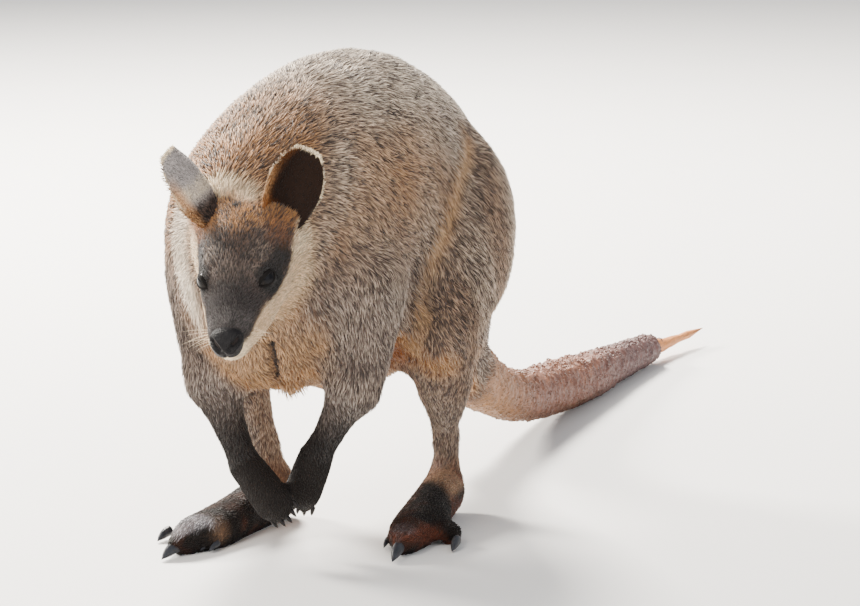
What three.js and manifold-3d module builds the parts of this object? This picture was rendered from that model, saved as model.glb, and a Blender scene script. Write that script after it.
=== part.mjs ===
// A life-size wallaby, standing hunched on its hind feet with its forepaws hanging together.
// Millimetres, +Z up. The animal faces -Y, so its left side is +X.
import * as THREE from "three";
import { ConvexGeometry } from "three/addons/geometries/ConvexGeometry.js";
import { mergeVertices } from "three/addons/utils/BufferGeometryUtils.js";
import Module from "manifold-3d";

const wasm = await Module();
wasm.setup();

// ---- Driving sizes ----
const CUT = 0.3; // the thin cut between two parts
const FOOT_LENGTH = 200; // heel to the tip of the fourth toe's claw
const HEAD_LENGTH = 148; // poll to the tip of the nose
const EAR_LENGTH = 71; // from its root inside the head
const EAR_WIDTH = 49;
const EYE_RADIUS = 10.5;
// The facets' sizes along X, Y and Z.
const CELLS = {
  trunk: [32, 42, 30],
  thigh: [20, 34, 30],
  neck: [25, 22, 25],
  tail: [14.5, 42, 14.5],
  shank: [18, 18, 34],
  arm: [16, 17, 30],
  forearm: [10, 11, 22],
  head: [13.5, 14, 14],
  foot: [12.5, 24, 12],
  hand: [9.5, 9.5, 10.5],
  nose: [6, 6, 6],
};

const at = (x, y, z) => new THREE.Vector3(x, y, z);
const rad = THREE.MathUtils.degToRad;
const SIDES = { left: 1, right: -1 };

// ---- Rounded forms, each a signed distance, negative inside, with the box that holds it ----

const boxed = (box, form) => Object.assign(form, { box });
const boxAround = (forms) => forms.reduce((box, form) => box.union(form.box), new THREE.Box3());

// One girth of a form: its middle, its half width, and its reach above and below that middle.
const girth = (middle, wide, above, below = above) => ({ middle, wide, above, below });

// A smooth run of girths. `across` is the direction of their width; "above" is across x along.
function run(across, girths, steps = 6) {
  const pieces = (girths.length - 1) * steps;
  const middles = new THREE.CatmullRomCurve3(girths.map((g) => g.middle)).getPoints(pieces);
  const sizes = new THREE.CatmullRomCurve3(girths.map((g) => at(g.wide, g.above, g.below))).getPoints(pieces);
  const bounds = new THREE.Box3().setFromPoints(middles);
  const reach = Math.max(...girths.flatMap((g) => [g.wide, g.above, g.below]));
  const links = [];
  for (let i = 0; i < pieces; i++) {
    const along = middles[i + 1].clone().sub(middles[i]);
    const length = along.length();
    along.divideScalar(length);
    const side = across.clone().addScaledVector(along, -across.dot(along)).normalize();
    const over = side.clone().cross(along);
    links.push({ start: middles[i], length, along, side, over, from: sizes[i], to: sizes[i + 1] });
  }
  // Points round each girth, `spare` mm clear of it, and past both ends.
  const rings = (spare) =>
    girths.flatMap((size, i) => {
      const { along, side, over } = links[Math.min(i * steps, pieces - 1)];
      const end = Math.min(size.wide, size.above, size.below) + spare;
      const past = { 0: [0, -end], [girths.length - 1]: [0, end] }[i] ?? [0];
      return past.flatMap((away) =>
        Array.from({ length: 10 }, (_, k) => {
          const [c, o] = [Math.cos((Math.PI * k) / 5), Math.sin((Math.PI * k) / 5)];
          const share = away ? 0.55 : 1;
          return size.middle
            .clone()
            .addScaledVector(along, away)
            .addScaledVector(side, share * c * (size.wide + spare))
            .addScaledVector(over, share * o * ((o > 0 ? size.above : size.below) + spare));
        }),
      );
    });
  const offset = at(0, 0, 0);
  const form = boxed(bounds.clone().expandByScalar(reach), (p) => {
    const away = bounds.distanceToPoint(p) - reach;
    if (away > 60) return away;
    let nearest = Infinity;
    for (const { start, length, along, side, over, from, to } of links) {
      offset.subVectors(p, start);
      const run = offset.dot(along);
      const t = Math.min(Math.max(run / length, 0), 1);
      const past = run - t * length;
      const a = offset.dot(side);
      const o = offset.dot(over);
      const wide = from.x + (to.x - from.x) * t;
      const above = from.y + (to.y - from.y) * t;
      const below = from.z + (to.z - from.z) * t;
      const high = o > 0 ? above : below;
      const share = Math.hypot(a / wide, o / high, past / Math.min(wide, above, below));
      const size = Math.hypot(a, o, past);
      nearest = Math.min(nearest, share < 1e-6 ? -Math.min(wide, high) : size - size / share);
    }
    return nearest;
  });
  return Object.assign(form, { rings });
}

// The smooth union of two distances, rounded over about `soft` mm.
function meld(a, b, soft) {
  const near = Math.max(soft - Math.abs(a - b), 0) / soft;
  return Math.min(a, b) - (near * near * soft) / 4;
}
const melded = (soft, ...forms) =>
  boxed(boxAround(forms), (p) => forms.reduce((d, form) => meld(d, form(p), soft), 1e3));

// ---- Solids ----

const CORNERS = [0, 1, 2, 3, 4, 5, 6, 7].map((m) => [m & 1, (m >> 1) & 1, m >> 2]);
const EDGES = CORNERS.flatMap((corner, from) =>
  [0, 1, 2].filter((axis) => !corner[axis]).map((axis) => ({ from, to: from | (1 << axis), axis })),
);

const solidOf = (geometry) => {
  const bare = new THREE.BufferGeometry().setAttribute("position", geometry.getAttribute("position"));
  if (geometry.index) bare.setIndex(geometry.index);
  const merged = mergeVertices(bare, 1e-4);
  return new wasm.Manifold(
    new wasm.Mesh({
      numProp: 3,
      vertProperties: new Float32Array(merged.attributes.position.array),
      triVerts: new Uint32Array(merged.index.array),
    }),
  );
};

// Everything beyond a plane, and `slack` mm before it.
const BLOCK = 2000;
function beyond(point, direction) {
  const to = direction.clone().normalize();
  return (slack) => {
    const block = new THREE.BoxGeometry(BLOCK, BLOCK, BLOCK).translate(0, 0, BLOCK / 2 - slack);
    block.applyQuaternion(new THREE.Quaternion().setFromUnitVectors(at(0, 0, 1), to));
    return solidOf(block.translate(point.x, point.y, point.z));
  };
}

// The convex block round some forms, `spare` mm clear of them and kept beyond each plane, and the same block
// grown by the thin cut.
function region(forms, spare, ...planes) {
  const block = (more) => {
    const hull = solidOf(new ConvexGeometry(forms.flatMap((form) => form.rings(spare + more))));
    return planes.reduce((rest, plane) => rest.intersect(plane(more)), hull);
  };
  return { box: boxAround(forms).expandByScalar(spare), solid: block(0), grown: block(CUT) };
}

// The faceted surface of a form inside a box: in each cell that the surface crosses, one vertex for each sheet of it.
function faceted(form, box, cells) {
  const cell = at(...cells);
  const low = box.min.clone().divide(cell).floor().subScalar(2);
  const high = box.max.clone().divide(cell).ceil().addScalar(2);
  const size = high.clone().sub(low).addScalar(1).toArray();
  const stride = [1, size[0], size[0] * size[1]];
  const index = (i, j, k) => i + stride[1] * j + stride[2] * k;
  const point = (i, j, k) => at(low.x + i, low.y + j, low.z + k).multiply(cell);
  const value = new Float32Array(size[0] * size[1] * size[2]);
  eachCell([0, 0, 0], size, (i, j, k) => {
    const rim = [i, j, k].some((n, axis) => n <= 1 || n >= size[axis] - 2);
    value[index(i, j, k)] = rim ? cell.x : form(point(i, j, k)) || 1e-6;
  });

  const positions = [];
  const vertexAt = new Map(); // cell * 24 + corner * 3 + axis, for each crossed edge of a cell
  eachCell([0, 0, 0], size.map((n) => n - 1), (i, j, k) => {
    const here = index(i, j, k);
    const values = CORNERS.map(([a, b, c]) => value[here + a + b * stride[1] + c * stride[2]]);
    const crossed = EDGES.filter(({ from, to }) => values[from] < 0 !== values[to] < 0);
    if (!crossed.length) return;
    const clumps = clumpsOf(values);
    const sheets = new Map();
    for (const edge of crossed) {
      const name = [clumps[edge.from], clumps[edge.to]].sort().join();
      if (!sheets.has(name)) sheets.set(name, []);
      sheets.get(name).push(edge);
    }
    for (const sheet of sheets.values()) {
      const middle = at(0, 0, 0);
      for (const { from, to } of sheet) {
        const t = values[from] / (values[from] - values[to]);
        const [a, b] = [CORNERS[from], CORNERS[to]];
        middle.add(point(...[i, j, k].map((n, axis) => n + a[axis] + t * (b[axis] - a[axis]))));
      }
      for (const edge of sheet) vertexAt.set(here * 24 + edge.from * 3 + edge.axis, positions.length);
      positions.push(settled(form, middle.divideScalar(sheet.length), Math.min(...cells) / 2));
    }
  });

  const triangles = [];
  eachCell([1, 1, 1], size.map((n) => n - 1), (i, j, k) => {
    const here = index(i, j, k);
    const inside = value[here] < 0;
    for (let axis = 0; axis < 3; axis++) {
      if (value[here + stride[axis]] < 0 === inside) continue;
      const [second, third] = [(axis + 1) % 3, (axis + 2) % 3];
      const round = [[1, 1], [0, 1], [0, 0], [1, 0]].map(([b, c]) =>
        vertexAt.get((here - b * stride[second] - c * stride[third]) * 24 + ((b << second) | (c << third)) * 3 + axis),
      );
      const [p, q, r, s] = inside ? round : round.reverse();
      const even = positions[p].distanceTo(positions[r]) < positions[q].distanceTo(positions[s]);
      triangles.push(...(even ? [p, q, r, p, r, s] : [q, r, s, q, s, p]));
    }
  });
  return indexed(positions, triangles);
}

function indexed(positions, triangles) {
  const geometry = new THREE.BufferGeometry();
  geometry.setAttribute("position", new THREE.Float32BufferAttribute(positions.flatMap((p) => p.toArray()), 3));
  return geometry.setIndex(triangles);
}

function eachCell(from, to, visit) {
  for (let k = from[2]; k < to[2]; k++)
    for (let j = from[1]; j < to[1]; j++)
      for (let i = from[0]; i < to[0]; i++) visit(i, j, k);
}

// Which of a cell's corners hang together on each side of the surface. Outside corners also meet across a face.
function clumpsOf(values) {
  const clump = values.map((v, m) => m);
  const join = (a, b) => {
    const [keep, drop] = [clump[a], clump[b]];
    clump.forEach((c, m) => {
      if (c === drop) clump[m] = keep;
    });
  };
  for (let a = 0; a < 8; a++)
    for (let b = a + 1; b < 8; b++) {
      const apart = CORNERS[a ^ b].reduce((sum, bit) => sum + bit);
      const same = values[a] < 0 === values[b] < 0;
      if (same && (apart === 1 || (apart === 2 && values[a] >= 0))) join(a, b);
    }
  return clump;
}

// Moves a point onto the form's surface along its slope, where that is no further than `most`.
function settled(form, start, most) {
  const p = start.clone();
  const step = 0.5;
  for (let turn = 0; turn < 3; turn++) {
    const d = form(p);
    const slope = at(
      form(at(p.x + step, p.y, p.z)) - form(at(p.x - step, p.y, p.z)),
      form(at(p.x, p.y + step, p.z)) - form(at(p.x, p.y - step, p.z)),
      form(at(p.x, p.y, p.z + step)) - form(at(p.x, p.y, p.z - step)),
    ).divideScalar(2 * step);
    const size = Math.max(slope.lengthSq(), 0.25);
    p.addScaledVector(slope, -d / size);
  }
  return p.distanceTo(start) < most ? p : start;
}

// ---- The animal's lines ----

const LEFT = at(1, 0, 0);
const RIGHT = at(-1, 0, 0);

// The head's own frame: left, forward from the poll to the nose, and up through the crown.
const HEAD = { nose: at(37.5, -398, 226.5), yaw: 15, pitch: 34, roll: 6 };
const headTurn = new THREE.Matrix4()
  .makeRotationZ(rad(HEAD.yaw))
  .multiply(new THREE.Matrix4().makeRotationX(rad(HEAD.pitch)))
  .multiply(new THREE.Matrix4().makeRotationY(rad(-HEAD.roll)));
const headRight = RIGHT.clone().transformDirection(headTurn);
const inHead = (left, forward, up) =>
  at(left, HEAD_LENGTH - forward, up).applyMatrix4(headTurn).add(HEAD.nose);

const trunk = run(LEFT, [
  girth(at(-10, -262, 272), 58, 52, 72),
  girth(at(-13, -220, 284), 92, 90, 140),
  girth(at(-11, -150, 290), 103, 134, 154),
  girth(at(-8, -75, 288), 105, 146, 170),
  girth(at(-4, 0, 266), 93, 137, 150),
  girth(at(0, 60, 226), 72, 104, 98),
  girth(at(2, 108, 172), 50, 54, 54),
]);
const neck = run(RIGHT, [
  girth(at(-15, -200, 308), 80, 78, 86),
  girth(at(-10, -248, 304), 58, 56, 62),
  girth(inHead(0, -10, -14), 46, 34, 50),
  girth(inHead(0, 26, -10), 38, 30, 44),
]);
const skull = run(headRight, [
  girth(inHead(0, 8, -2), 32, 26, 34),
  girth(inHead(0, 32, 0), 38, 34, 46),
  girth(inHead(0, 58, -4), 38, 32, 48),
  girth(inHead(0, 84, -9), 33, 26, 43),
  girth(inHead(0, 108, -12), 25.5, 22, 31),
  girth(inHead(0, 129, -14), 18.5, 18, 20),
  girth(inHead(0, 135, -15), 12.5, 13, 14),
]);
const TAIL = [
  girth(at(0, 88, 165), 46, 50, 46),
  girth(at(8, 145, 98), 31, 32, 31),
  girth(at(12, 215, 61), 24, 25, 24),
  girth(at(7, 300, 42), 24, 25, 26),
  girth(at(0, 395, 31), 25, 27, 26),
  girth(at(-4, 480, 25), 23, 24, 25.5),
  girth(at(-9, 586, 21), 19, 20, 20.5),
  girth(at(-10, 672, 17.5), 16, 16, 16),
];
const tail = run(LEFT, TAIL);

const legs = {
  left: {
    hip: at(62, 16, 262),
    knee: at(100, -112, 188),
    ankle: at(66, -24, 56),
    heel: at(64, -6, 0),
    toes: 9.5,
  },
  right: {
    hip: at(-64, 10, 262),
    knee: at(-88, -182, 194),
    ankle: at(-72, -104, 54),
    heel: at(-64, -82, 0),
    toes: 7,
  },
};
const arms = {
  left: { shoulder: at(74, -200, 245), elbow: at(68, -214, 158), wrist: at(29, -211, 94), hand: at(14, -210, 58) },
  right: { shoulder: at(-80, -208, 245), elbow: at(-70, -222, 155), wrist: at(-31, -233, 84), hand: at(2, -242, 54) },
};

function legForms(side, { hip, knee, ankle, heel, toes }) {
  const s = SIDES[side];
  const between = (a, b, t) => a.clone().lerp(b, t);
  const thigh = run(LEFT, [
    girth(hip.clone().add(at(0, 48, 0)), 34, 62, 66),
    girth(hip.clone().add(at(s * 2, 4, -6)), 48, 88, 94),
    girth(between(hip, knee, 0.5).add(at(s * 2, 0, 2)), 42, 66, 70),
    girth(knee, 30, 37, 34),
  ]);
  const shank = run(LEFT, [
    girth(knee, 30, 34, 34),
    girth(between(knee, ankle, 0.35), 29, 42, 26),
    girth(between(knee, ankle, 0.7), 18, 24, 17),
    girth(ankle, 15, 18, 17),
    girth(heel.clone().add(at(0, -14, 26)), 16, 17, 17),
  ]);
  const turn = new THREE.Matrix4().makeRotationZ(rad(s * toes));
  const right = RIGHT.clone().transformDirection(turn);
  const inFoot = (out, forward, up) => at(s * out, -forward, up).applyMatrix4(turn).add(heel);
  const sole = run(right, [
    girth(inFoot(0, 13, 16), 14, 16, 18),
    girth(inFoot(0, 34, 22), 18, 27, 24),
    girth(inFoot(-1, 75, 20), 19, 21, 22),
    girth(inFoot(-1, 115, 17), 20, 17, 19),
    girth(inFoot(0, 145, 15), 20, 15, 17),
  ]);
  const toe4 = run(right, [
    girth(inFoot(0, 130, 15), 15, 15, 17),
    girth(inFoot(0, 160, 15), 14.5, 15, 17),
    girth(inFoot(0, 179, 12), 10, 11, 13.5),
  ]);
  const toe5 = run(right, [
    girth(inFoot(12, 86, 14), 9, 11, 15),
    girth(inFoot(29, 114, 12), 10, 11, 14),
    girth(inFoot(39.5, 133, 10), 8.5, 9, 11.5),
  ]);
  const toe23 = run(right, [
    girth(inFoot(-10, 95, 13), 7, 9, 14),
    girth(inFoot(-16, 125, 11), 6, 7, 12),
    girth(inFoot(-16, 140, 9), 5, 6, 10),
  ]);
  const footForms = [sole, toe4, toe5, toe23];
  return { knee, ankle, thigh, shank, right, inFoot, footForms, foot: melded(6, ...footForms) };
}

// How far each finger stands to the left of the middle one, and how far it reaches.
const FINGERS = [
  { aside: -13, reach: 10 },
  { aside: -6.5, reach: 14 },
  { aside: 0, reach: 15.5 },
  { aside: 6.5, reach: 14 },
  { aside: 13, reach: 10 },
];

function armForms(side, { shoulder, elbow, wrist, hand }) {
  const upper = run(LEFT, [
    girth(shoulder, 34, 48, 44),
    girth(shoulder.clone().lerp(elbow, 0.6), 29, 36, 32),
    girth(elbow, 23, 28, 25),
  ]);
  const fore = run(LEFT, [
    girth(elbow, 23, 27, 25),
    girth(elbow.clone().lerp(wrist, 0.4), 17, 21, 20),
    girth(wrist, 13, 15, 15),
  ]);
  const palm = run(LEFT, [
    girth(wrist, 13, 15, 15),
    girth(wrist.clone().lerp(hand, 0.5), 17, 16, 16),
    girth(hand, 17.5, 14.5, 14.5),
  ]);
  const along = hand.clone().sub(wrist).normalize();
  const across = LEFT.clone().addScaledVector(along, -LEFT.dot(along)).normalize();
  const fingers = FINGERS.map(({ aside, reach }) => {
    const root = hand.clone().addScaledVector(across, aside * 0.8);
    const bend = hand.clone().addScaledVector(across, aside).addScaledVector(along, reach * 0.55);
    const end = hand.clone().addScaledVector(across, aside).addScaledVector(along, reach).add(at(0, 4, 0));
    return { end, along, form: run(LEFT, [girth(root, 6, 7, 7), girth(bend, 5, 6, 6), girth(end, 4, 4.5, 4.5)]) };
  });
  const handForms = [palm, ...fingers.map(({ form }) => form)];
  return { wrist, elbow, upper, fore, fingers, handForms, hand: melded(3, ...handForms) };
}

const leg = { left: legForms("left", legs.left), right: legForms("right", legs.right) };
const arm = { left: armForms("left", arms.left), right: armForms("right", arms.right) };

const torsoForms = [trunk, neck, tail, leg.left.thigh, leg.right.thigh, arm.left.upper, arm.right.upper];
const torso = boxed(boxAround(torsoForms), (p) => {
  const core = melded(30, trunk, neck, tail)(p);
  const arms = Math.min(arm.left.upper(p), arm.right.upper(p));
  const thighs = Math.min(leg.left.thigh(p), leg.right.thigh(p));
  return meld(meld(core, thighs, 20), arms, 22);
});
const flesh = (p) => {
  const limbs = Math.min(
    melded(12, leg.left.shank, leg.left.foot)(p),
    melded(12, leg.right.shank, leg.right.foot)(p),
    melded(10, arm.left.fore, arm.left.hand)(p),
    melded(10, arm.right.fore, arm.right.hand)(p),
  );
  return meld(meld(torso(p), limbs, 14), skull(p), 14);
};

// ---- Named parts ----

const group = new THREE.Group();
group.name = "wallaby";
const floor = solidOf(new THREE.BoxGeometry(2000, 2000, 60).translate(0, 0, -30));
const taken = []; // the regions that have their part, each grown by the thin cut

const finish = (color, roughness) => new THREE.MeshStandardMaterial({ color, roughness, metalness: 0 });
const FINISHES = {
  coat: finish(0x8a7765, 0.95),
  darkCoat: finish(0x33261f, 0.9),
  ear: finish(0x6b5546, 0.9),
  tail: finish(0x94776e, 0.75),
  tailEnd: finish(0xb9793f, 0.7),
  claw: finish(0x55524f, 0.4),
  nose: finish(0x1d1a1c, 0.45),
  eye: finish(0x0d0b0c, 0.08),
};

function add(name, solid, material, pivot) {
  const [largest] = solid.decompose().sort((a, b) => b.volume() - a.volume());
  const { vertProperties, triVerts } = largest.getMesh();
  const geometry = new THREE.BufferGeometry();
  geometry.setAttribute("position", new THREE.BufferAttribute(vertProperties, 3));
  geometry.setIndex(new THREE.BufferAttribute(triVerts, 1)).translate(-pivot.x, -pivot.y, -pivot.z);
  geometry.computeVertexNormals();
  const mesh = new THREE.Mesh(geometry, material);
  mesh.name = name;
  mesh.position.copy(pivot);
  group.add(mesh);
}

// A closed geometry's solid grown by the thin cut: each vertex moves out until it clears every face round it.
function grownOf(geometry) {
  const bare = new THREE.BufferGeometry().setAttribute("position", geometry.getAttribute("position"));
  const grown = mergeVertices(bare.setIndex(geometry.index), 1e-4);
  const { position } = grown.attributes;
  const around = Array.from({ length: position.count }, () => []);
  const corners = [at(0, 0, 0), at(0, 0, 0), at(0, 0, 0)];
  for (let i = 0; i < grown.index.count; i += 3) {
    const face = [0, 1, 2].map((k) => grown.index.getX(i + k));
    face.forEach((vertex, k) => corners[k].fromBufferAttribute(position, vertex));
    const normal = new THREE.Triangle(...corners).getNormal(at(0, 0, 0));
    if (normal.lengthSq() > 0) face.forEach((vertex) => around[vertex].push(normal));
  }
  const p = at(0, 0, 0);
  around.forEach((normals, vertex) => {
    const out = normals.reduce((sum, normal) => sum.add(normal), at(0, 0, 0)).normalize();
    const least = Math.min(...normals.map((normal) => normal.dot(out)));
    p.fromBufferAttribute(position, vertex).addScaledVector(out, CUT / Math.max(least, 0.4));
    position.setXYZ(vertex, p.x, p.y, p.z);
  });
  return solidOf(grown);
}
const without = (solid, others) => others.reduce((rest, other) => rest.subtract(other), solid);

// Takes the flesh in a region that no earlier part has taken, as one named part.
function claim(name, { box, solid, grown }, cells, material, pivot) {
  const body = solidOf(faceted(flesh, box, cells)).intersect(solid);
  add(name, without(body, [...taken, floor]), material, pivot);
  taken.push(grown);
}

// A separate small piece, which the flesh round it keeps clear of.
function seat(name, geometry, material, pivot, grown = grownOf(geometry)) {
  add(name, without(solidOf(geometry), [floor]), material, pivot);
  taken.push(grown);
}

// A horn of rings along a line of points, each ring with its half width and half height, closed by a point.
function horn(across, points, halves, tip, sides) {
  const positions = points.flatMap((middle, i) => {
    const along = (points[i + 1] ?? tip).clone().sub(middle).normalize();
    const side = across.clone().addScaledVector(along, -across.dot(along)).normalize();
    const over = side.clone().cross(along);
    return Array.from({ length: sides }, (_, k) => {
      const turn = (2 * Math.PI * k) / sides;
      return middle
        .clone()
        .addScaledVector(side, halves[i][0] * Math.cos(turn))
        .addScaledVector(over, halves[i][1] * Math.sin(turn));
    });
  });
  const root = positions.push(points[0]) - 1;
  const end = positions.push(tip) - 1;
  const last = (points.length - 1) * sides;
  const triangles = [];
  for (let k = 0; k < sides; k++) {
    const next = (k + 1) % sides;
    for (let row = 0; row < last; row += sides) {
      const [a, b, c, d] = [row + k, row + next, row + sides + next, row + sides + k];
      triangles.push(a, c, b, a, d, c);
    }
    triangles.push(root, k, next, end, last + next, last + k);
  }
  return indexed(positions, triangles);
}

function claw(name, { right, root, along, down, length, wide }) {
  const place = (t) => root.clone().addScaledVector(along, t * length).addScaledVector(down, t * t * length * 0.3);
  const halves = [0.5, 0.46, 0.3].map((n) => [n * wide, n * wide * 1.3]);
  seat(name, horn(right, [place(0), place(0.4), place(0.75)], halves, place(1), 6), FINISHES.claw, root);
}

for (const side of Object.keys(SIDES)) {
  const { right, inFoot } = leg[side];
  const ahead = inFoot(0, 1, 0).sub(inFoot(0, 0, 0));
  const toes = {
    toe_2: { out: -20, forward: 142, up: 7, length: 15, wide: 5 },
    toe_3: { out: -12, forward: 144, up: 7, length: 15, wide: 5 },
    toe_4: { out: 0, forward: 174, up: 10, length: FOOT_LENGTH - 174, wide: 11 },
    toe_5: { out: 40.5, forward: 131, up: 8, length: 20, wide: 8.5 },
  };
  for (const [toe, { out, forward, up, length, wide }] of Object.entries(toes)) {
    const root = inFoot(out, forward, up);
    claw(`claw_${toe}_${side}`, { right, root, along: ahead, down: at(0, 0, -1), length, wide });
  }
  arm[side].fingers.forEach(({ end, along }, i) => {
    const down = at(0, 0.9, -0.5);
    claw(`claw_finger_${i + 1}_${side}`, { right: LEFT, root: end, along, down, length: 8, wide: 4 });
  });
}

for (const [side, s] of Object.entries(SIDES)) {
  const { wrist, elbow, handForms, fore, upper } = arm[side];
  const handLine = wrist.clone().sub(elbow);
  claim(`hand_${side}`, region(handForms, 6, beyond(wrist, handLine)), CELLS.hand, FINISHES.darkCoat, wrist);
  claim(`forearm_${side}`, region([fore], 8, beyond(elbow, handLine)), CELLS.forearm, FINISHES.coat, elbow);
  const shoulderTop = arms[side].shoulder.clone().add(at(0, 0, 24));
  const chestWall = beyond(at(s * 46, 0, 0), at(s, 0, 0));
  const armRegion = region([upper], 8, beyond(shoulderTop, at(0, 0, -1)), chestWall);
  claim(`upper_arm_${side}`, armRegion, CELLS.arm, FINISHES.coat, arms[side].shoulder);

  const { inFoot, ankle, knee, footForms, shank, thigh } = leg[side];
  const shinLine = ankle.clone().sub(knee);
  const footRegion = region(footForms, 7, beyond(ankle, at(0, -0.25, -1)));
  claim(`foot_${side}`, footRegion, CELLS.foot, FINISHES.darkCoat, inFoot(0, 34, 22));
  const shankTop = knee.clone().lerp(ankle, 0.16);
  claim(`shank_${side}`, region([shank], 10, beyond(shankTop, shinLine)), CELLS.shank, FINISHES.coat, knee);
  const hipWall = beyond(at(s * 62, 0, 0), at(s, 0, 0));
  claim(`thigh_${side}`, region([thigh], 26, hipWall), CELLS.thigh, FINISHES.coat, legs[side].hip);
}

// An ear, `spare` mm larger all round: a thin cupped leaf, a row of front and a row of back points at each height.
function earGeometry({ base, along, facing }, spare = 0) {
  const up = along.clone().normalize();
  const front = facing.clone().addScaledVector(up, -facing.dot(up)).normalize();
  const side = up.clone().cross(front);
  const columns = 6;
  const widest = 0.5;
  const rows = [0, 0.18, 0.35, widest, 0.68, 0.84, 0.95];
  const positions = rows.flatMap((v) => {
    const below = 0.55 + 0.45 * Math.sin((Math.PI / 2) * Math.min(v / widest, 1));
    const swell = v < widest ? below : Math.sqrt(1 - ((v - widest) / (1.01 - widest)) ** 2);
    const half = (EAR_WIDTH / 2) * swell;
    const cup = half * (0.65 - 0.25 * v);
    const point = (u, thick) =>
      base
        .clone()
        .addScaledVector(up, v * (EAR_LENGTH + 2 * spare) - spare)
        .addScaledVector(side, (half + spare) * u)
        .addScaledVector(front, -cup * (1 - u * u) - thick);
    const across = Array.from({ length: columns + 1 }, (_, i) => (2 * i) / columns - 1);
    const depth = (u) => 1.6 + 1.6 * (1 - u * u) + 1.5 * spare;
    return [...across.map((u) => point(u, -1.5 * spare)), ...across.map((u) => point(-u, depth(u)))];
  });
  const ring = 2 * (columns + 1);
  const triangles = [];
  for (let row = 0; row + 1 < rows.length; row++)
    for (let i = 0; i < ring; i++) {
      const [a, b] = [row * ring + i, row * ring + ((i + 1) % ring)];
      triangles.push(a, b, b + ring, a, b + ring, a + ring);
    }
  const top = (rows.length - 1) * ring;
  for (let i = 0; i < columns; i++) {
    const [a, b, c, d] = [i, i + 1, ring - 2 - i, ring - 1 - i];
    triangles.push(a, c, b, a, d, c, top + a, top + b, top + c, top + a, top + c, top + d);
  }
  return indexed(positions, triangles);
}
const ears = {
  left: { base: inHead(29.5, 27, 14), along: at(0.19, 0.44, 0.88), facing: at(0.62, -0.77, 0.14) },
  right: { base: inHead(-33, 17, 14), along: at(-0.42, -0.3, 0.86), facing: at(-0.98, 0.03, -0.17) },
};

// The head: ears, eyes and nose first, so that the flesh keeps clear of them.
for (const [side, s] of Object.entries(SIDES)) {
  const room = solidOf(earGeometry(ears[side], CUT));
  seat(`ear_${side}`, earGeometry(ears[side]), FINISHES.ear, ears[side].base, room);
  const eye = inHead(s * 23, 78, 5);
  seat(`eye_${side}`, new THREE.SphereGeometry(EYE_RADIUS, 10, 7).translate(...eye.toArray()), FINISHES.eye, eye);
}
const nosePad = run(headRight, [girth(inHead(0, 133, -8), 14.5, 12, 9), girth(inHead(0, 139, -11), 13, 10, 10)]);
seat("nose", faceted(nosePad, nosePad.box, CELLS.nose), FINISHES.nose, inHead(0, 133, -8));

const poll = beyond(inHead(0, 8, 0), inHead(0, 1, 0).sub(inHead(0, 0, 0)));
claim("head", region([skull], 16, poll), CELLS.head, FINISHES.coat, inHead(0, 8, 0));
const neckRoot = at(-12, -262, 296);
const neckRegion = region([neck], 90, beyond(neckRoot, at(0.08, -1, 0.75)));
claim("neck", neckRegion, CELLS.neck, FINISHES.coat, neckRoot);

// The tail, from its dried end to its root.
const tailTip = TAIL.at(-1).middle;
const spikeLine = [at(-10, 666, 15), tailTip, at(-9, 712, 14)];
const spike = horn(LEFT, spikeLine, [[9, 9.5], [8.5, 9], [5.5, 6]], at(4, 802, 18), 7);
seat("tail_end", spike, FINISHES.tailEnd, tailTip);
for (const [name, start] of Object.entries({ tail_tip: 5, tail_middle: 4, tail_base: 2, tail_root: 1 })) {
  const line = TAIL[start + 1].middle.clone().sub(TAIL[start].middle);
  const tailRegion = region([tail], 10, beyond(TAIL[start].middle, line));
  claim(name, tailRegion, CELLS.tail, FINISHES.tail, TAIL[start].middle);
}

const rest = solidOf(faceted(torso, torso.box, CELLS.trunk));
add("trunk", without(rest, [...taken, floor]), FINISHES.coat, at(0, 0, 266));

// The origin: on the floor, under the middle of the whole animal.
const bounds = new THREE.Box3().setFromObject(group);
const middle = bounds.getCenter(at(0, 0, 0));
group.position.set(-middle.x, -middle.y, 0);
const model = new THREE.Group().add(group);
model.updateMatrixWorld(true);

export default model;
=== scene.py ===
"""Dresses a life-size wallaby: one skin under a coat of joined tufts, ears, eyes, nose, claws, bare tail and stage."""

import math

import bmesh
import bpy
import numpy as np
from mathutils import Matrix, Vector
from mathutils.bvhtree import BVHTree


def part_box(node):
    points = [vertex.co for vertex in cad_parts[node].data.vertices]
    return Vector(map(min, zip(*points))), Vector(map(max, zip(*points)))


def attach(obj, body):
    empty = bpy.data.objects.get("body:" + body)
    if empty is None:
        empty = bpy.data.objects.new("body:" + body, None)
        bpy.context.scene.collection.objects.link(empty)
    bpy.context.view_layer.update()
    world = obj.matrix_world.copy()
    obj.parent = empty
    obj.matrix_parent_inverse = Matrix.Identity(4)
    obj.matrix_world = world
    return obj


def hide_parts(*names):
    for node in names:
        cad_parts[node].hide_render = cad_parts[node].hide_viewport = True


bl_info = {
    "name": "Wallaby",
    "version": (1, 0, 0),
    "blender": (4, 5, 0),
    "location": "View3D > Sidebar > Wallaby",
    "description": "Skin, coat, ears, eyes, nose, claws, tail and stage of a life-size wallaby",
    "category": "Object",
}

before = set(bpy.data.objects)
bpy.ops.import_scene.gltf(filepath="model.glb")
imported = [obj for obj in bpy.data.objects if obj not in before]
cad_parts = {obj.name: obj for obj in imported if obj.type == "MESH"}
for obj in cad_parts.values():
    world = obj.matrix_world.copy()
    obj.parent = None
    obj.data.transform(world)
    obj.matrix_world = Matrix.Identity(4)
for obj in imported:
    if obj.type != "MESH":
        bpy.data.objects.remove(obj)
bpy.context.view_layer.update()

MM = 0.001
SIDES = {"left": 1, "right": -1}
KINDS = ("head", "neck", "trunk", "thigh", "shank", "foot", "upper_arm", "forearm", "hand", "tail")

# ---- The head's own measures: left, forward from the poll, and up, in millimetres ----

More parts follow.
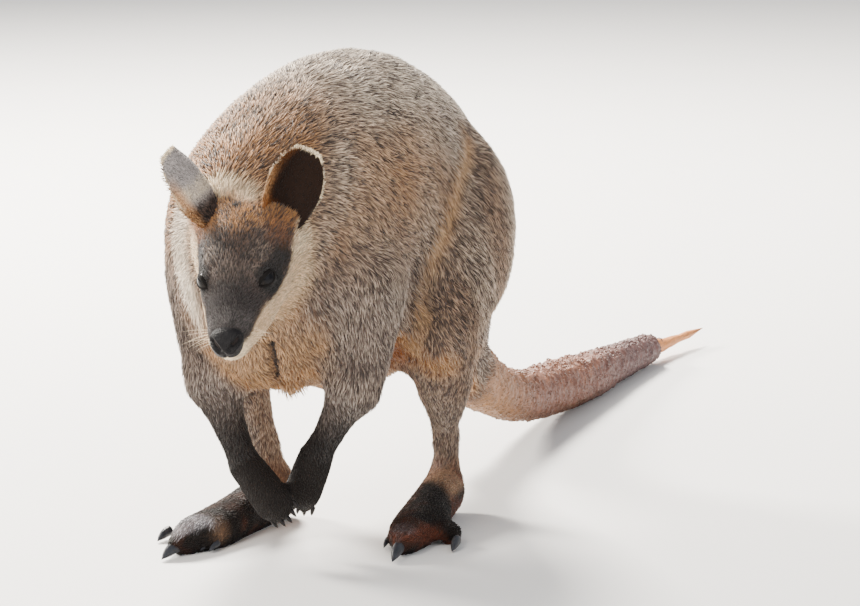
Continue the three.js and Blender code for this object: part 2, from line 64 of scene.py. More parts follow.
HEAD_YAW, HEAD_PITCH, HEAD_ROLL = 15.0, 34.0, 6.0
EYE_OUT, EYE_FORWARD, EYE_UP = 23.0, 78.0, 5.0
EYE_RADIUS = 10.3
HEAD_TURN = (
    Matrix.Rotation(math.radians(HEAD_YAW), 3, "Z")
    @ Matrix.Rotation(math.radians(HEAD_PITCH), 3, "X")
    @ Matrix.Rotation(math.radians(-HEAD_ROLL), 3, "Y")
)


def middle_of(node):
    low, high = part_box(node)
    return (low + high) / 2


BETWEEN_EYES = (middle_of("eye_left") + middle_of("eye_right")) / 2


# Places on the body are in millimetres from an origin on the floor, tied to the eyes.
BODY_ORIGIN = BETWEEN_EYES - Vector((19.65, -532.61, 269.77)) * MM


def on_body(points):
    return (points - np.array(BODY_ORIGIN)) / MM


def head_place(left, forward, up):
    """A place on the head, in metres in the frame."""
    local = Vector((left, EYE_FORWARD - forward, up - EYE_UP)) * MM
    return BETWEEN_EYES + HEAD_TURN @ local


def head_way(left, forward, up):
    """A direction given along the head's own axes."""
    return (HEAD_TURN @ Vector((left, -forward, up))).normalized()


def in_head(points):
    """Points in metres as millimetres to the left, forward and up in the head."""
    local = (points - np.array(BETWEEN_EYES)) @ np.array(HEAD_TURN) / MM
    return np.stack([local[:, 0], EYE_FORWARD - local[:, 1], EYE_UP + local[:, 2]], axis=1)


# ---- The ears: where they leave the head, the way they stand and the way they open ----

EAR_LENGTH = 71.0
EARS = {
    "left": {"root": (29.5, 27, 14), "along": (0.19, 0.44, 0.88), "facing": (0.62, -0.77, 0.14), "front": -1},
    "right": {"root": (-33, 17, 14), "along": (-0.42, -0.3, 0.86), "facing": (-0.98, 0.03, -0.17), "front": 1},
}


def ear_axes(side):
    """The ear's root, and its directions along, out of its cup and towards its front edge."""
    ear = EARS[side]
    along = Vector(ear["along"]).normalized()
    facing = Vector(ear["facing"])
    facing = (facing - along * facing.dot(along)).normalized()
    front_edge = along.cross(facing) * ear["front"]
    return head_place(*ear["root"]), along, facing, front_edge


# ---- Sizes and colours that a user would change ----


def shade(code):
    """A colour from its usual six-digit code, as Blender's linear values."""
    parts = [int(code[i : i + 2], 16) / 255 for i in (0, 2, 4)]
    return tuple(p / 12.92 if p <= 0.04045 else ((p + 0.055) / 1.055) ** 2.4 for p in parts)


def length(name, about, default):
    return bpy.props.FloatProperty(name=name, description=about, default=default, min=0.0, unit="LENGTH")


def colour(name, about, code):
    return bpy.props.FloatVectorProperty(
        name=name, description=about, default=shade(code), subtype="COLOR", min=0.0, max=1.0
    )


class WallabyCoat(bpy.types.PropertyGroup):
    """Lengths of the coat and how densely it stands."""

    body_hair: length("Body hair", "Length of a tuft on the back and flanks", 0.0092)
    head_hair: length("Head hair", "Length of a tuft on the crown and cheeks", 0.0062)
    face_hair: length("Face hair", "Length of a tuft on the muzzle", 0.0026)
    foot_hair: length("Foot hair", "Length of a tuft on the feet and hands", 0.0042)
    whisker: length("Whisker", "Length of the longest whisker", 0.042)
    thickness: bpy.props.FloatProperty(
        name="Thickness of growth", description="Share of the full number of tufts", default=1.0, min=0.05, max=1.2
    )
    seed: bpy.props.IntProperty(name="Seed", description="Start of the scatter of tufts", default=11)


class WallabyColours(bpy.types.PropertyGroup):
    """Colours of the coat, skin, horn and floor."""

    under: colour("Under fur", "Roots of the grizzled coat", "5b4a42")
    guard: colour("Guard hair", "Dark tips of the grizzled coat", "281f1b")
    ticking: colour("Ticking", "Pale tips of the grizzled coat", "ac9a8b")
    warm: colour("Warm ticking", "Tips on the shoulders and upper back", "bb8346")
    # Also laid as painted sunlight on the upward-facing top of the back.
    pale: colour("Pale coat", "Lightest body hair, on the rump and neck", "f4e5d0")
    rufous: colour("Rufous", "Belly, inner thighs and the ears' bases", "8a4e18")
    buff: colour("Buff", "Chest and the line along the thigh", "c4996b")
    cream: colour("Cream", "Cheek stripe, lips and chin", "f7e1be")
    # Also laid as painted shade in the chest fold.
    charcoal: colour("Charcoal", "Round the eyes, and small dark marks", "161210")
    muzzle: colour("Muzzle", "Top and sides of the muzzle", "312a2b")
    soot: colour("Soot", "Hands and feet", "130c08")
    # Also laid as a painted highlight on the right foot.
    tan: colour("Tan", "Sides of the ankles", "94745a")
    # Painted highlight: a silvery sheen laid on the upward-facing top of the longest toes.
    chestnut: colour("Chestnut", "Patches on the feet", "6d3822")
    painted_toe_highlight: colour("Silver", "Sheen on the longest toes", "b9b6bb")
    tail_top: colour("Tail, upper", "Bare skin along the top of the tail", "845843")
    tail_side: colour("Tail, side", "Bare skin along the tail's sides", "6c483c")
    tail_under: colour("Tail, under", "Bare skin under the tail", "5c3a26")
    tail_far: colour("Tail, far end", "Bare skin towards the tail's end", "574345")
    dried: colour("Dried end", "The tail's dried end", "c07c45")
    claw: colour("Claw", "Horn of the toe claws", "2b2d32")
    finger_claw: colour("Finger claw", "Horn of the finger claws", "120e0d")
    nose: colour("Nose", "Bare nose pad", "0d0b0d")
    eye: colour("Eye", "Iris", "0b0604")
    ear_inside: colour("Ear, inside", "Skin in the ear's cup", "1a0c04")
    ear_back: colour("Ear, back", "Short hair on the ear's back", "9c9592")
    floor: colour("Floor", "Studio floor", "e9e8e6")


def coat_sizes():
    return bpy.context.scene.wallaby_coat


def paint():
    return bpy.context.scene.wallaby_colours


# ---- Arrays read from meshes ----


def read(items, key, width, kind=np.float32):
    values = np.empty(len(items) * width, kind)
    items.foreach_get(key, values)
    values = values.reshape(-1, width) if width > 1 else values
    return values.astype(float) if kind is np.float32 else values


def points_of(mesh):
    return read(mesh.vertices, "co", 3)


def normals_of(mesh):
    return read(mesh.vertices, "normal", 3)


def edges_of(mesh):
    return read(mesh.edges, "vertices", 2, np.int32)


def corners_of(mesh):
    """The corners of each face, four to a row; a triangle's last corner stands twice."""
    starts = read(mesh.polygons, "loop_start", 1, np.int32)
    totals = read(mesh.polygons, "loop_total", 1, np.int32)
    vertices = read(mesh.loops, "vertex_index", 1, np.int32)
    loops = starts[:, None] + np.minimum(np.arange(4)[None], totals[:, None] - 1)
    return vertices[loops], loops


def moved(mesh, points):
    mesh.vertices.foreach_set("co", np.ascontiguousarray(points, np.float32).ravel())
    mesh.update()


def eased(values, edges, rounds, strength=0.5):
    """Values drawn towards the mean of their neighbours, round by round."""
    values = np.array(values, float)
    flat = values.ndim == 1
    values = values[:, None] if flat else values
    strength = np.broadcast_to(np.asarray(strength, float), (len(values),))[:, None]
    a, b = edges.T
    count = np.maximum(np.bincount(edges.ravel(), minlength=len(values)), 1)[:, None]
    for _ in range(rounds):
        columns = [
            np.bincount(a, values[b, c], len(values)) + np.bincount(b, values[a, c], len(values))
            for c in range(values.shape[1])
        ]
        values += strength * (np.stack(columns, axis=1) / count - values)
    return values[:, 0] if flat else values


def ramp(values, start, end):
    """0 at start, 1 at end, smooth between."""
    t = np.clip((values - start) / (end - start), 0.0, 1.0)
    return t * t * (3 - 2 * t)


def unit(vectors):
    return vectors / np.maximum(np.linalg.norm(vectors, axis=-1, keepdims=True), 1e-12)


def from_line(points, line):
    """Distance from each point to a broken line."""
    line = np.array(line, float)
    nearest = np.full(len(points), np.inf)
    for start, end in zip(line[:-1], line[1:]):
        way = end - start
        t = np.clip((points - start) @ way / (way @ way), 0, 1)
        gap = np.linalg.norm(points - start - t[:, None] * way, axis=1)
        nearest = np.minimum(nearest, gap)
    return nearest


def spot(points, centre, reach, soft):
    """1 within reach of the centre, 0 beyond reach and soft."""
    return 1 - ramp(np.linalg.norm(points - np.array(centre, float), axis=1), reach, reach + soft)


def stripe(points, line, reach, soft):
    return 1 - ramp(from_line(points, line), reach, reach + soft)


def mottle(points, size, seed):
    """Soft blotches between about -1 and 1, size across, in the points' own units."""
    chance = np.random.default_rng(seed)
    waves = chance.normal(size=(14, 3)) * (2.6 / size)
    starts = chance.uniform(0, 2 * math.pi, 14)
    return np.clip(np.sin(points @ waves.T + starts).mean(axis=1) * 3.2, -1.5, 1.5)


# ---- The skin ----

VOXEL = 4 * MM
LAP = 0.5 * MM  # each part grows by this, so that the parts run into each other
# How deep the skin lies under the solids, in millimetres, and how strongly it is smoothed.
DEPTH = {"head": 1.8, "neck": 5, "trunk": 5, "thigh": 5, "shank": 3, "foot": 1.0,
         "upper_arm": 4, "forearm": 2.6, "hand": 0.9, "tail": 0.4}
SMOOTH = {"head": 0.22, "neck": 0.55, "trunk": 0.55, "thigh": 0.55, "shank": 0.4, "foot": 0.2,
          "upper_arm": 0.55, "forearm": 0.35, "hand": 0.14, "tail": 0.25}


def kind_of(node):
    for start, kind in (("claw_toe", "foot"), ("claw_finger", "hand"), ("ear", "head"), ("eye", "head"),
                        ("nose", "head"), ("tail", "tail")):
        if node.startswith(start):
            return kind
    return node.removesuffix("_left").removesuffix("_right")


def merged_copy(node):
    copy = bmesh.new()
    copy.from_mesh(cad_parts[node].data)
    bmesh.ops.remove_doubles(copy, verts=copy.verts, dist=1e-5)
    return copy


def ear_stump(side):
    """The foot of an ear, which the skin grows round."""
    copy = merged_copy(f"ear_{side}")
    root, along, _, _ = ear_axes(side)
    cut = root + along * (0.05 * EAR_LENGTH * MM)
    parts = copy.verts[:] + copy.edges[:] + copy.faces[:]
    bmesh.ops.bisect_plane(copy, geom=parts, plane_co=cut, plane_no=along, clear_outer=True)
    bmesh.ops.holes_fill(copy, edges=[e for e in copy.edges if e.is_boundary], sides=0)
    return copy


def joined_solids():
    """All parts, each a little grown, in one mesh."""
    joined = bmesh.new()
    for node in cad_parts:
        part = ear_stump(node.removeprefix("ear_")) if node.startswith("ear_") else merged_copy(node)
        bmesh.ops.recalc_face_normals(part, faces=part.faces)
        part.normal_update()
        for vert in part.verts:
            vert.co += vert.normal * LAP
        copy = bpy.data.meshes.new("part")
        part.to_mesh(copy)
        joined.from_mesh(copy)
        bpy.data.meshes.remove(copy)
        part.free()
    mesh = bpy.data.meshes.new("solids")
    joined.to_mesh(mesh)
    joined.free()
    return mesh


def one_surface(mesh):
    """The outer surface of overlapping solids, in even faces."""
    holder = bpy.data.objects.new("solids", mesh)
    bpy.context.collection.objects.link(holder)
    remesh = holder.modifiers.new("surface", "REMESH")
    remesh.mode = "VOXEL"
    remesh.voxel_size = VOXEL
    surface = bpy.data.meshes.new_from_object(holder.evaluated_get(bpy.context.evaluated_depsgraph_get()))
    bpy.data.objects.remove(holder)
    bpy.data.meshes.remove(mesh)
    return surface


def part_finder():
    """The nearest part to a point, by the parts' own faces."""
    vertices, faces, kinds = [], [], []
    for name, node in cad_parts.items():
        base = len(vertices)
        vertices += [tuple(v.co) for v in node.data.vertices]
        faces += [tuple(base + i for i in p.vertices) for p in node.data.polygons]
        kinds += [KINDS.index(kind_of(name))] * len(node.data.polygons)
    return BVHTree.FromPolygons(vertices, faces), np.array(kinds)


def shares_of(mesh, finder, rounds):
    """How far each vertex belongs to each kind of part."""
    tree, kinds = finder
    nearest = [tree.find_nearest(v.co)[2] for v in mesh.vertices]
    share = np.eye(len(KINDS))[kinds[nearest]]
    return eased(share, edges_of(mesh), rounds)


def share_of(share, *kinds):
    return share[:, [KINDS.index(k) for k in kinds]].sum(axis=1)


def by_kind(share, table):
    return share @ np.array([table[k] for k in KINDS], float)


def sunk(mesh, surface, depth, rounds):
    """Moves the skin to its depth below the surface, evenly enough to leave no facets."""
    tree = BVHTree.FromPolygons([v.co for v in surface.vertices], [p.vertices for p in surface.polygons])
    gaps = np.empty(len(mesh.vertices))
    for i, vertex in enumerate(mesh.vertices):
        place, normal, _, gap = tree.find_nearest(vertex.co)
        gaps[i] = math.copysign(gap, (vertex.co - place).dot(normal))
    push = eased(-depth - gaps, edges_of(mesh), rounds)
    moved(mesh, points_of(mesh) + normals_of(mesh) * push[:, None])


def refined(mesh, chosen):
    """Splits the chosen faces once along each edge; chosen is true or false for each vertex."""
    work = bmesh.new()
    work.from_mesh(mesh)
    work.verts.ensure_lookup_table()
    faces = [f for f in work.faces if all(chosen[v.index] for v in f.verts)]
    edges = list({e for f in faces for e in f.edges})
    bmesh.ops.subdivide_edges(work, edges=edges, cuts=1, use_grid_fill=True)
    bmesh.ops.triangulate(work, faces=[f for f in work.faces if len(f.verts) > 4])
    work.to_mesh(mesh)
    work.free()


# The eye's opening: half its width, and its height above and below the line between its corners.
EYE_WIDE, EYE_ABOVE, EYE_BELOW = 9.6, 3.4, 3.3
GAZE = (0.70, 0.50, 0.42)
EYE_CORNER = (-0.70, 0.60, -0.20)  # towards the inner corner


def eye_axes(side):
    """The eyeball's middle, and its directions out, towards its inner corner and up."""
    s = SIDES[side]
    middle = middle_of(f"eye_{side}")
    out = head_way(s * GAZE[0], GAZE[1], GAZE[2])
    corner = head_way(s * EYE_CORNER[0], EYE_CORNER[1], EYE_CORNER[2])
    corner = (corner - out * corner.dot(out)).normalized()
    up = out.cross(corner) * s
    return middle, out, corner, up


def in_opening(points, side, margin):
    """Below 1 inside the eye's opening grown by the margin, above 1 outside; in front of the eye only."""
    middle, out, corner, up = (np.array(v) for v in eye_axes(side))
    local = (points - middle) / MM
    x = local @ corner / (EYE_WIDE + margin)
    y = local @ up
    y = y / np.where(y > 0, EYE_ABOVE + margin, EYE_BELOW + margin)
    inside = np.abs(x) ** 1.6 + np.abs(y)
    return np.where(local @ out > 0, inside, 9.0)


MOUTH = ((144, -19), (136, -23), (124, -26), (110, -28), (98, -27))  # forward and up, seen from the side
# The fold down the chest, carved into the skin and filled with painted shade.
CHEST_FOLD = ((12, -463, 202), (9, -452, 184), (1, -434, 167))
# Creases where the upper arms meet the chest, carved into the skin and darkened with painted shade; they stand on both
# sides.
ARM_CREASE = ((50, -432, 187), (68, -429, 182), (82, -420, 178))
CHEST_LOCK = (8, -412, 154)  # a longer lock of hair that hangs at the chest's lower edge


def carved_head(points, normals, head):
    """Eye sockets, brows, mouth, and the muzzle's hollows on the skin."""
    local = in_head(points)
    left, forward, up = local.T
    rise = np.zeros(len(points))
    for s in (1, -1):
        rise += 1.6 * spot(local, (s * 25, 70, 20), 3, 9)
        rise += 1.2 * spot(local, (s * 30, 60, -14), 5, 16)
        rise -= 1.6 * spot(local, (s * 20, 100, 3), 3, 12)
        rise += 1.0 * spot(local, (s * 14, 128, -16), 3, 9)
    mouth = from_line(np.stack([forward, up, up * 0], axis=1), [(f, u, 0) for f, u in MOUTH])
    rise -= 1.5 * np.exp(-((mouth / 1.5) ** 2)) * (np.abs(left) > 3) * ramp(forward, 92, 104)
    points = points + normals * (rise * head * MM)[:, None]
    for side in SIDES:
        middle = np.array(eye_axes(side)[0])
        away = points - middle
        distance = np.linalg.norm(away, axis=1)
        near = head * (1 - ramp(distance, 15 * MM, 20 * MM)) * (in_opening(points, side, 0) < 8)
        lifted = np.maximum(distance, (EYE_RADIUS + 0.1) * MM)
        socket = (EYE_RADIUS - 3.5) * MM
        open_here = 1 - ramp(in_opening(points, side, 0.8), 0.9, 1.15)
        wanted = lifted * (1 - open_here) + np.minimum(distance, socket) * open_here
        points = points + unit(away) * (near * (wanted - distance))[:, None]
    return points


def rough_tail(points, normals, bare):
    """Low warts and ragged ridges on the bare tail."""
    warts = np.maximum(mottle(points / MM, 9, 5), 0.1) * 1.1 + mottle(points / MM, 5, 6) * 0.6
    crest = ramp(normals[:, 2], 0.3, 0.9) * np.maximum(mottle(points / MM, 6.5, 7), 0) * 2.2
    return points + normals * (bare * (warts + crest) * MM)[:, None]


TAIL_BARE_FROM, TAIL_BARE_TO = -66.0, -32.0


def chest_fold(points, reach, soft):
    """1 along the fold down the chest, seen from the front, and 0 beyond reach and soft."""
    place = on_body(points)
    line = [(x, 0, z) for x, _, z in CHEST_FOLD]
    return stripe(place * (1, 0, 1), line, reach, soft) * ramp(-place[:, 1], 395, 415)


def bare_share(points, share):
    """1 on the bare tail, 0 under the coat, with a ragged edge."""
    along = on_body(points)[:, 1] + 7 * mottle(points / MM, 16, 8)
    return share_of(share, "tail") * ramp(along, TAIL_BARE_FROM, TAIL_BARE_TO)


# The way the coat lies on each kind of part, in the frame; the head's is along its own axes.
LIE = {
    "neck": (0, 0.85, -0.4), "trunk": (0, 0.72, -0.7), "thigh": (0, 0.34, -0.94),
    "shank": (0, 0.25, -0.97), "foot": (0, -1, -0.25), "upper_arm": (0, 0.12, -1),
    "forearm": (0, -0.05, -1), "hand": (0, -0.15, -1), "tail": (0, 1, -0.3),
}


def lie_field(points, normals, share, edges):
    """The way the coat lies at each vertex, from nose to tail and down the limbs."""
    local = in_head(points)
    head = np.array([head_way(0, -1, 0)] * len(points))
    outward = np.sign(local[:, 0]) * 0.35 * ramp(np.abs(local[:, 0]), 4, 22)
    head = head + outward[:, None] * np.array(head_way(1, 0, 0))
    head = head - (ramp(-local[:, 2], 0, 30) * 0.4)[:, None] * np.array(head_way(0, 0, 1))
    ways = share_of(share, "head")[:, None] * unit(head)
    for kind, way in LIE.items():
        ways = ways + share_of(share, kind)[:, None] * unit(np.array(way, float))
    ways = eased(unit(ways), edges, 14)
    ways -= normals * (ways * normals).sum(axis=1)[:, None]
    return unit(eased(unit(ways), edges, 6))


# ---- Markings, shared by the skin and the coat ----


class Marks:
    """Root and tip colours and the share of dark hairs, painted over each other."""

    def __init__(self, count):
        colours = paint()
        self.root = np.tile(np.array(colours.under), (count, 1))
        self.tip = np.tile(np.array(colours.ticking), (count, 1))
        self.dark = np.full(count, 0.40)

    def lay(self, weight, root=None, tip=None, dark=None):
        w = np.clip(weight, 0, 1)
        if root is not None:
            self.root += w[:, None] * (np.array(root) - self.root)
        if tip is not None:
            self.tip += w[:, None] * (np.array(tip) - self.tip)
        if dark is not None:
            self.dark += w * (dark - self.dark)


# Edge between the dark mask and the pale cheek: forward in the head, and up.
CHEEK_EDGE = ((-10, 12), (30, 10), (40, 4), (48, -3), (60, -5), (80, -6), (99, -4), (117, -6), (132, -10), (150, -13))
ANKLE = 46.0  # height where the leg's coat gives way to the foot's
ANKLE_BACK = (-245, -273)  # the foot is dark forward of here, left and right
TOE_HIGHLIGHT = {1: ((96, -372, 20), 0.25), -1: ((-76, -430, 22), 0.9)}  # where a painted highlight lies on the longest toe's upper side, and how strong
# Tan spots and their reach: the first, on the right foot, is a painted highlight on sunlit fur; the second is a tan
# patch on the right ankle.
ANKLE_TAN_AND_HIGHLIGHT = (((-64, -408, 17), 2), ((-66, -300, 44), 8))
THIGH_EDGE = ((73, -181, 352), (88, -240, 318), (95, -294, 265), (95, -328, 219), (84, -328, 182))


def markings(points, normals, share):
    """The coat's colours at each point."""
    c = paint()
    mm = on_body(points)
    x, y, z = mm.T
    local = in_head(points)
    left, forward, up = local.T
    head, tail = share_of(share, "head"), share_of(share, "tail")
    limbs = share_of(share, "forearm", "hand")
    foot, shank = share_of(share, "foot"), share_of(share, "shank")
    marks = Marks(len(points))
    patch = mottle(mm, 60, 1)

    # body
    marks.lay(0.9 * ramp(z, 230, 330) * ramp(-y, 210, 330), tip=c.warm)
    # Painted sunlight: paler tips on the upward-facing top of the back and rump, where light falls from above.
    marks.lay(0.8 * ramp(normals[:, 2], 0.1, 0.8) * ramp(z, 290, 380) * ramp(y, -430, -330), tip=c.pale, dark=0.34)
    marks.lay(0.4 * share_of(share, "neck") * ramp(x, 30, 60), tip=c.pale)
    marks.lay(0.6 * share_of(share, "thigh", "shank"), dark=0.55)
    marks.lay(0.35 * share_of(share, "thigh", "shank"), tip=c.warm)
    marks.lay(0.65 * ramp(y, -190, -120) * ramp(z, 120, 200), tip=c.pale, dark=0.24)
    marks.lay(0.35 * share_of(share, "upper_arm") * ramp(-x, 20, 40), tip=c.under, dark=0.6)
    marks.lay(0.3 * np.maximum(patch, 0), dark=0.55)
    marks.lay(0.25 * np.maximum(-patch, 0), tip=c.pale)
    under = ramp(-normals[:, 2], 0.15, 0.75) * share_of(share, "trunk", "thigh") * (z > 60)
    marks.lay(under, root=c.rufous, tip=c.buff, dark=0.12)
    for s in (1, -1):
        groin = stripe(mm, ((s * 40, -318, 150), (s * 62, -330, 172)), 10, 30) * ramp(84 - np.abs(x), 0, 16)
        marks.lay(groin, root=c.rufous, tip=c.rufous, dark=0.05)
    chest = ramp(-y, 405, 445) * ramp(236 - z, 0, 36) * share_of(share, "trunk", "neck", "upper_arm")
    marks.lay(0.85 * chest * ramp(66 - np.abs(x), 0, 26), root=c.under, tip=c.buff, dark=0.24)
    for s in (1, -1):
        thigh_edge = [(s * a, b, d) for a, b, d in THIGH_EDGE]
        behind = [(s * a, b + 26, d - 6) for a, b, d in THIGH_EDGE]
        side = ramp(s * x, 20, 45)
        marks.lay(0.5 * side * stripe(mm, behind, 10, 26), dark=0.62)
        marks.lay(0.7 * side * stripe(mm, thigh_edge, 2, 13), root=c.buff, tip=c.buff, dark=0.12)
        marks.lay(0.85 * stripe(mm, ((s * 56, -484, 312), (s * 58, -480, 262), (s * 62, -470, 205)), 7, 12),
                  root=c.pale, tip=c.pale, dark=0.03)
    # Painted shade: a dark spot in the fold behind the left shoulder.
    marks.lay(0.5 * spot(mm, (93, -410, 264), 5, 16), dark=0.85)
    # Painted shade in the creases where the upper arms meet the chest.
    for s in (1, -1):
        marks.lay(0.5 * stripe(mm, [(s * a, b, d) for a, b, d in ARM_CREASE], 3, 7), tip=c.under, dark=0.75)
    # Painted shade: the chest fold's slit is filled with charcoal.
    marks.lay(0.97 * chest_fold(points, 1.8, 2.2), root=c.charcoal, tip=c.charcoal, dark=1)

    # head
    marks.lay(head, root=c.under, tip=c.warm, dark=0.45)
    forehead = head * ramp(forward + 0.5 * np.abs(left), 40, 60)
    marks.lay(0.9 * forehead, root=c.guard, tip=c.under, dark=0.6)
    marks.lay(0.3 * forehead * np.maximum(mottle(local, 9, 12), 0), tip=c.ticking)
    marks.lay(0.45 * spot(local, (-9, 83, 17), 5, 11), tip=c.ticking, dark=0.3)
    marks.lay(0.3 * spot(local, (9, 83, 17), 5, 9), tip=c.ticking, dark=0.4)
    edge = np.interp(forward, [f for f, _ in CHEEK_EDGE], [u for _, u in CHEEK_EDGE])
    mask = head * ramp(forward, 62, 104) * ramp(up - edge, -3, 3)
    marks.lay(0.9 * mask, root=c.charcoal, tip=c.muzzle, dark=0.4)
    marks.lay(0.25 * mask * ramp(forward, 108, 122) * (1 - ramp(forward, 126, 134)), tip=c.ear_back, dark=0.3)
    for s in (1, -1):
        eye = spot(local, (s * 28, 79, 4), 10, 6)
        marks.lay(0.95 * eye, root=c.charcoal, tip=c.charcoal, dark=0.95)
        back = stripe(local, ((s * 30, 72, 6), (s * 36, 52, 8)), 5, 8)
        marks.lay(0.8 * back * head, root=c.charcoal, tip=c.charcoal, dark=0.8)
        brow = spot(local, (s * 21, 62, 21), 5, 9)
        marks.lay(0.12 * brow, tip=c.pale)
    cheek = head * ramp(edge - up, 0, 4) * ramp(forward, -6, 14)
    throat = cheek * ramp(-up, 34, 50)
    marks.lay(cheek, root=c.buff, tip=c.cream, dark=0.08)
    marks.lay(0.5 * cheek * ramp(forward, 118, 134), root=c.cream)
    marks.lay(0.3 * cheek * ramp(-up, 4, 16), tip=c.buff)
    marks.lay(0.45 * throat, root=c.buff, tip=c.buff)
    lips = head * ramp(forward, 128, 138) * ramp(-up, 8, 14)
    marks.lay(lips, root=c.cream, tip=c.cream, dark=0.02)
    for side, ear in EARS.items():
        root = ear["root"]
        base = (root[0], root[1] + 8, root[2])
        marks.lay(0.42 * spot(local, base, 8, 15) * ramp(up, -6, 8), root=c.rufous, tip=c.rufous, dark=0.3)
    marks.lay(0.9 * stripe(mm, ((-27, -486, 336), (-8, -490, 345), (10, -492, 338)), 6, 11),
              root=c.cream, tip=c.cream, dark=0.04)
    for place in ((-24, 25, 30), (-4, 20, 33)):
        marks.lay(0.95 * spot(local, place, 2.4, 2.4), root=c.charcoal, tip=c.charcoal, dark=1)

    # limbs
    marks.lay(0.4 * limbs * ramp(205 - z, 0, 50), tip=c.ear_back, dark=0.5)
    marks.lay(limbs * ramp(166 - z, 0, 60), root=c.soot, tip=c.guard, dark=0.6)
    marks.lay(share_of(share, "hand"), root=c.soot, tip=c.soot, dark=0.97)
    marks.lay(0.6 * shank * ramp(150 - z, 0, 50), tip=c.ticking, dark=0.35)
    inside_leg = shank * ramp(-np.sign(x) * normals[:, 0], 0.45, 0.9)
    marks.lay(0.2 * inside_leg, root=c.rufous, tip=c.buff, dark=0.3)
    leg = np.maximum(foot, shank)
    front = ramp(-normals[:, 1], 0.3, 0.8)
    marks.lay(leg * ramp(ANKLE + 24 - z, 0, 22) * (1 - 0.6 * front), root=c.tan, tip=c.tan, dark=0.25)
    ahead = ramp(np.where(x > 0, ANKLE_BACK[0], ANKLE_BACK[1]) - y, 0, 22) * ramp(ANKLE + 6 - z, 0, 12)
    marks.lay(leg * np.maximum(ahead, ramp(32 - z, 0, 10)), root=c.soot, tip=c.soot, dark=0.75)
    sides = 1 - ramp(normals[:, 2], 0.3, 0.8)
    marks.lay(0.75 * foot * (0.35 + 0.65 * sides) * ramp(mottle(mm, 24, 3), -0.3, 0.8),
              root=c.chestnut, tip=c.chestnut, dark=0.3)
    # The first spot is a painted highlight, the second tan hair on the ankle.
    for place, reach in ANKLE_TAN_AND_HIGHLIGHT:
        marks.lay(0.6 * leg * spot(mm, place, reach, 16), root=c.tan, tip=c.tan, dark=0.25)
    # Painted highlight: silvery tips on the upward-facing top of the longest toe.
    for s in (1, -1):
        place, highlight_share = TOE_HIGHLIGHT[s]
        sheen = foot * spot(mm, place, 15, 14) * ramp(normals[:, 2], 0.2, 0.7)
        marks.lay(highlight_share * sheen, tip=c.painted_toe_highlight, dark=0.15)

    # tail
    bare = bare_share(points, share)
    ridge = ramp(normals[:, 2] + 0.25 * mottle(mm, 14, 9), 0.25, 0.85)
    marks.lay(tail * (1 - bare) * 0.6, tip=c.tan)
    marks.lay(bare, root=c.tail_side, tip=c.tail_side, dark=0)
    marks.lay(bare * ridge, root=c.tail_top, tip=c.tail_top)
    marks.lay(bare * ramp(-normals[:, 2], 0.1, 0.8), root=c.tail_under, tip=c.tail_under)
    marks.lay(0.3 * bare * (1 - ramp(y, -40, 110)), root=c.buff, tip=c.buff)
    marks.lay(0.75 * bare * ramp(y, 190, 420), root=c.tail_far, tip=c.tail_far)
    return marks


# ---- Finishes ----


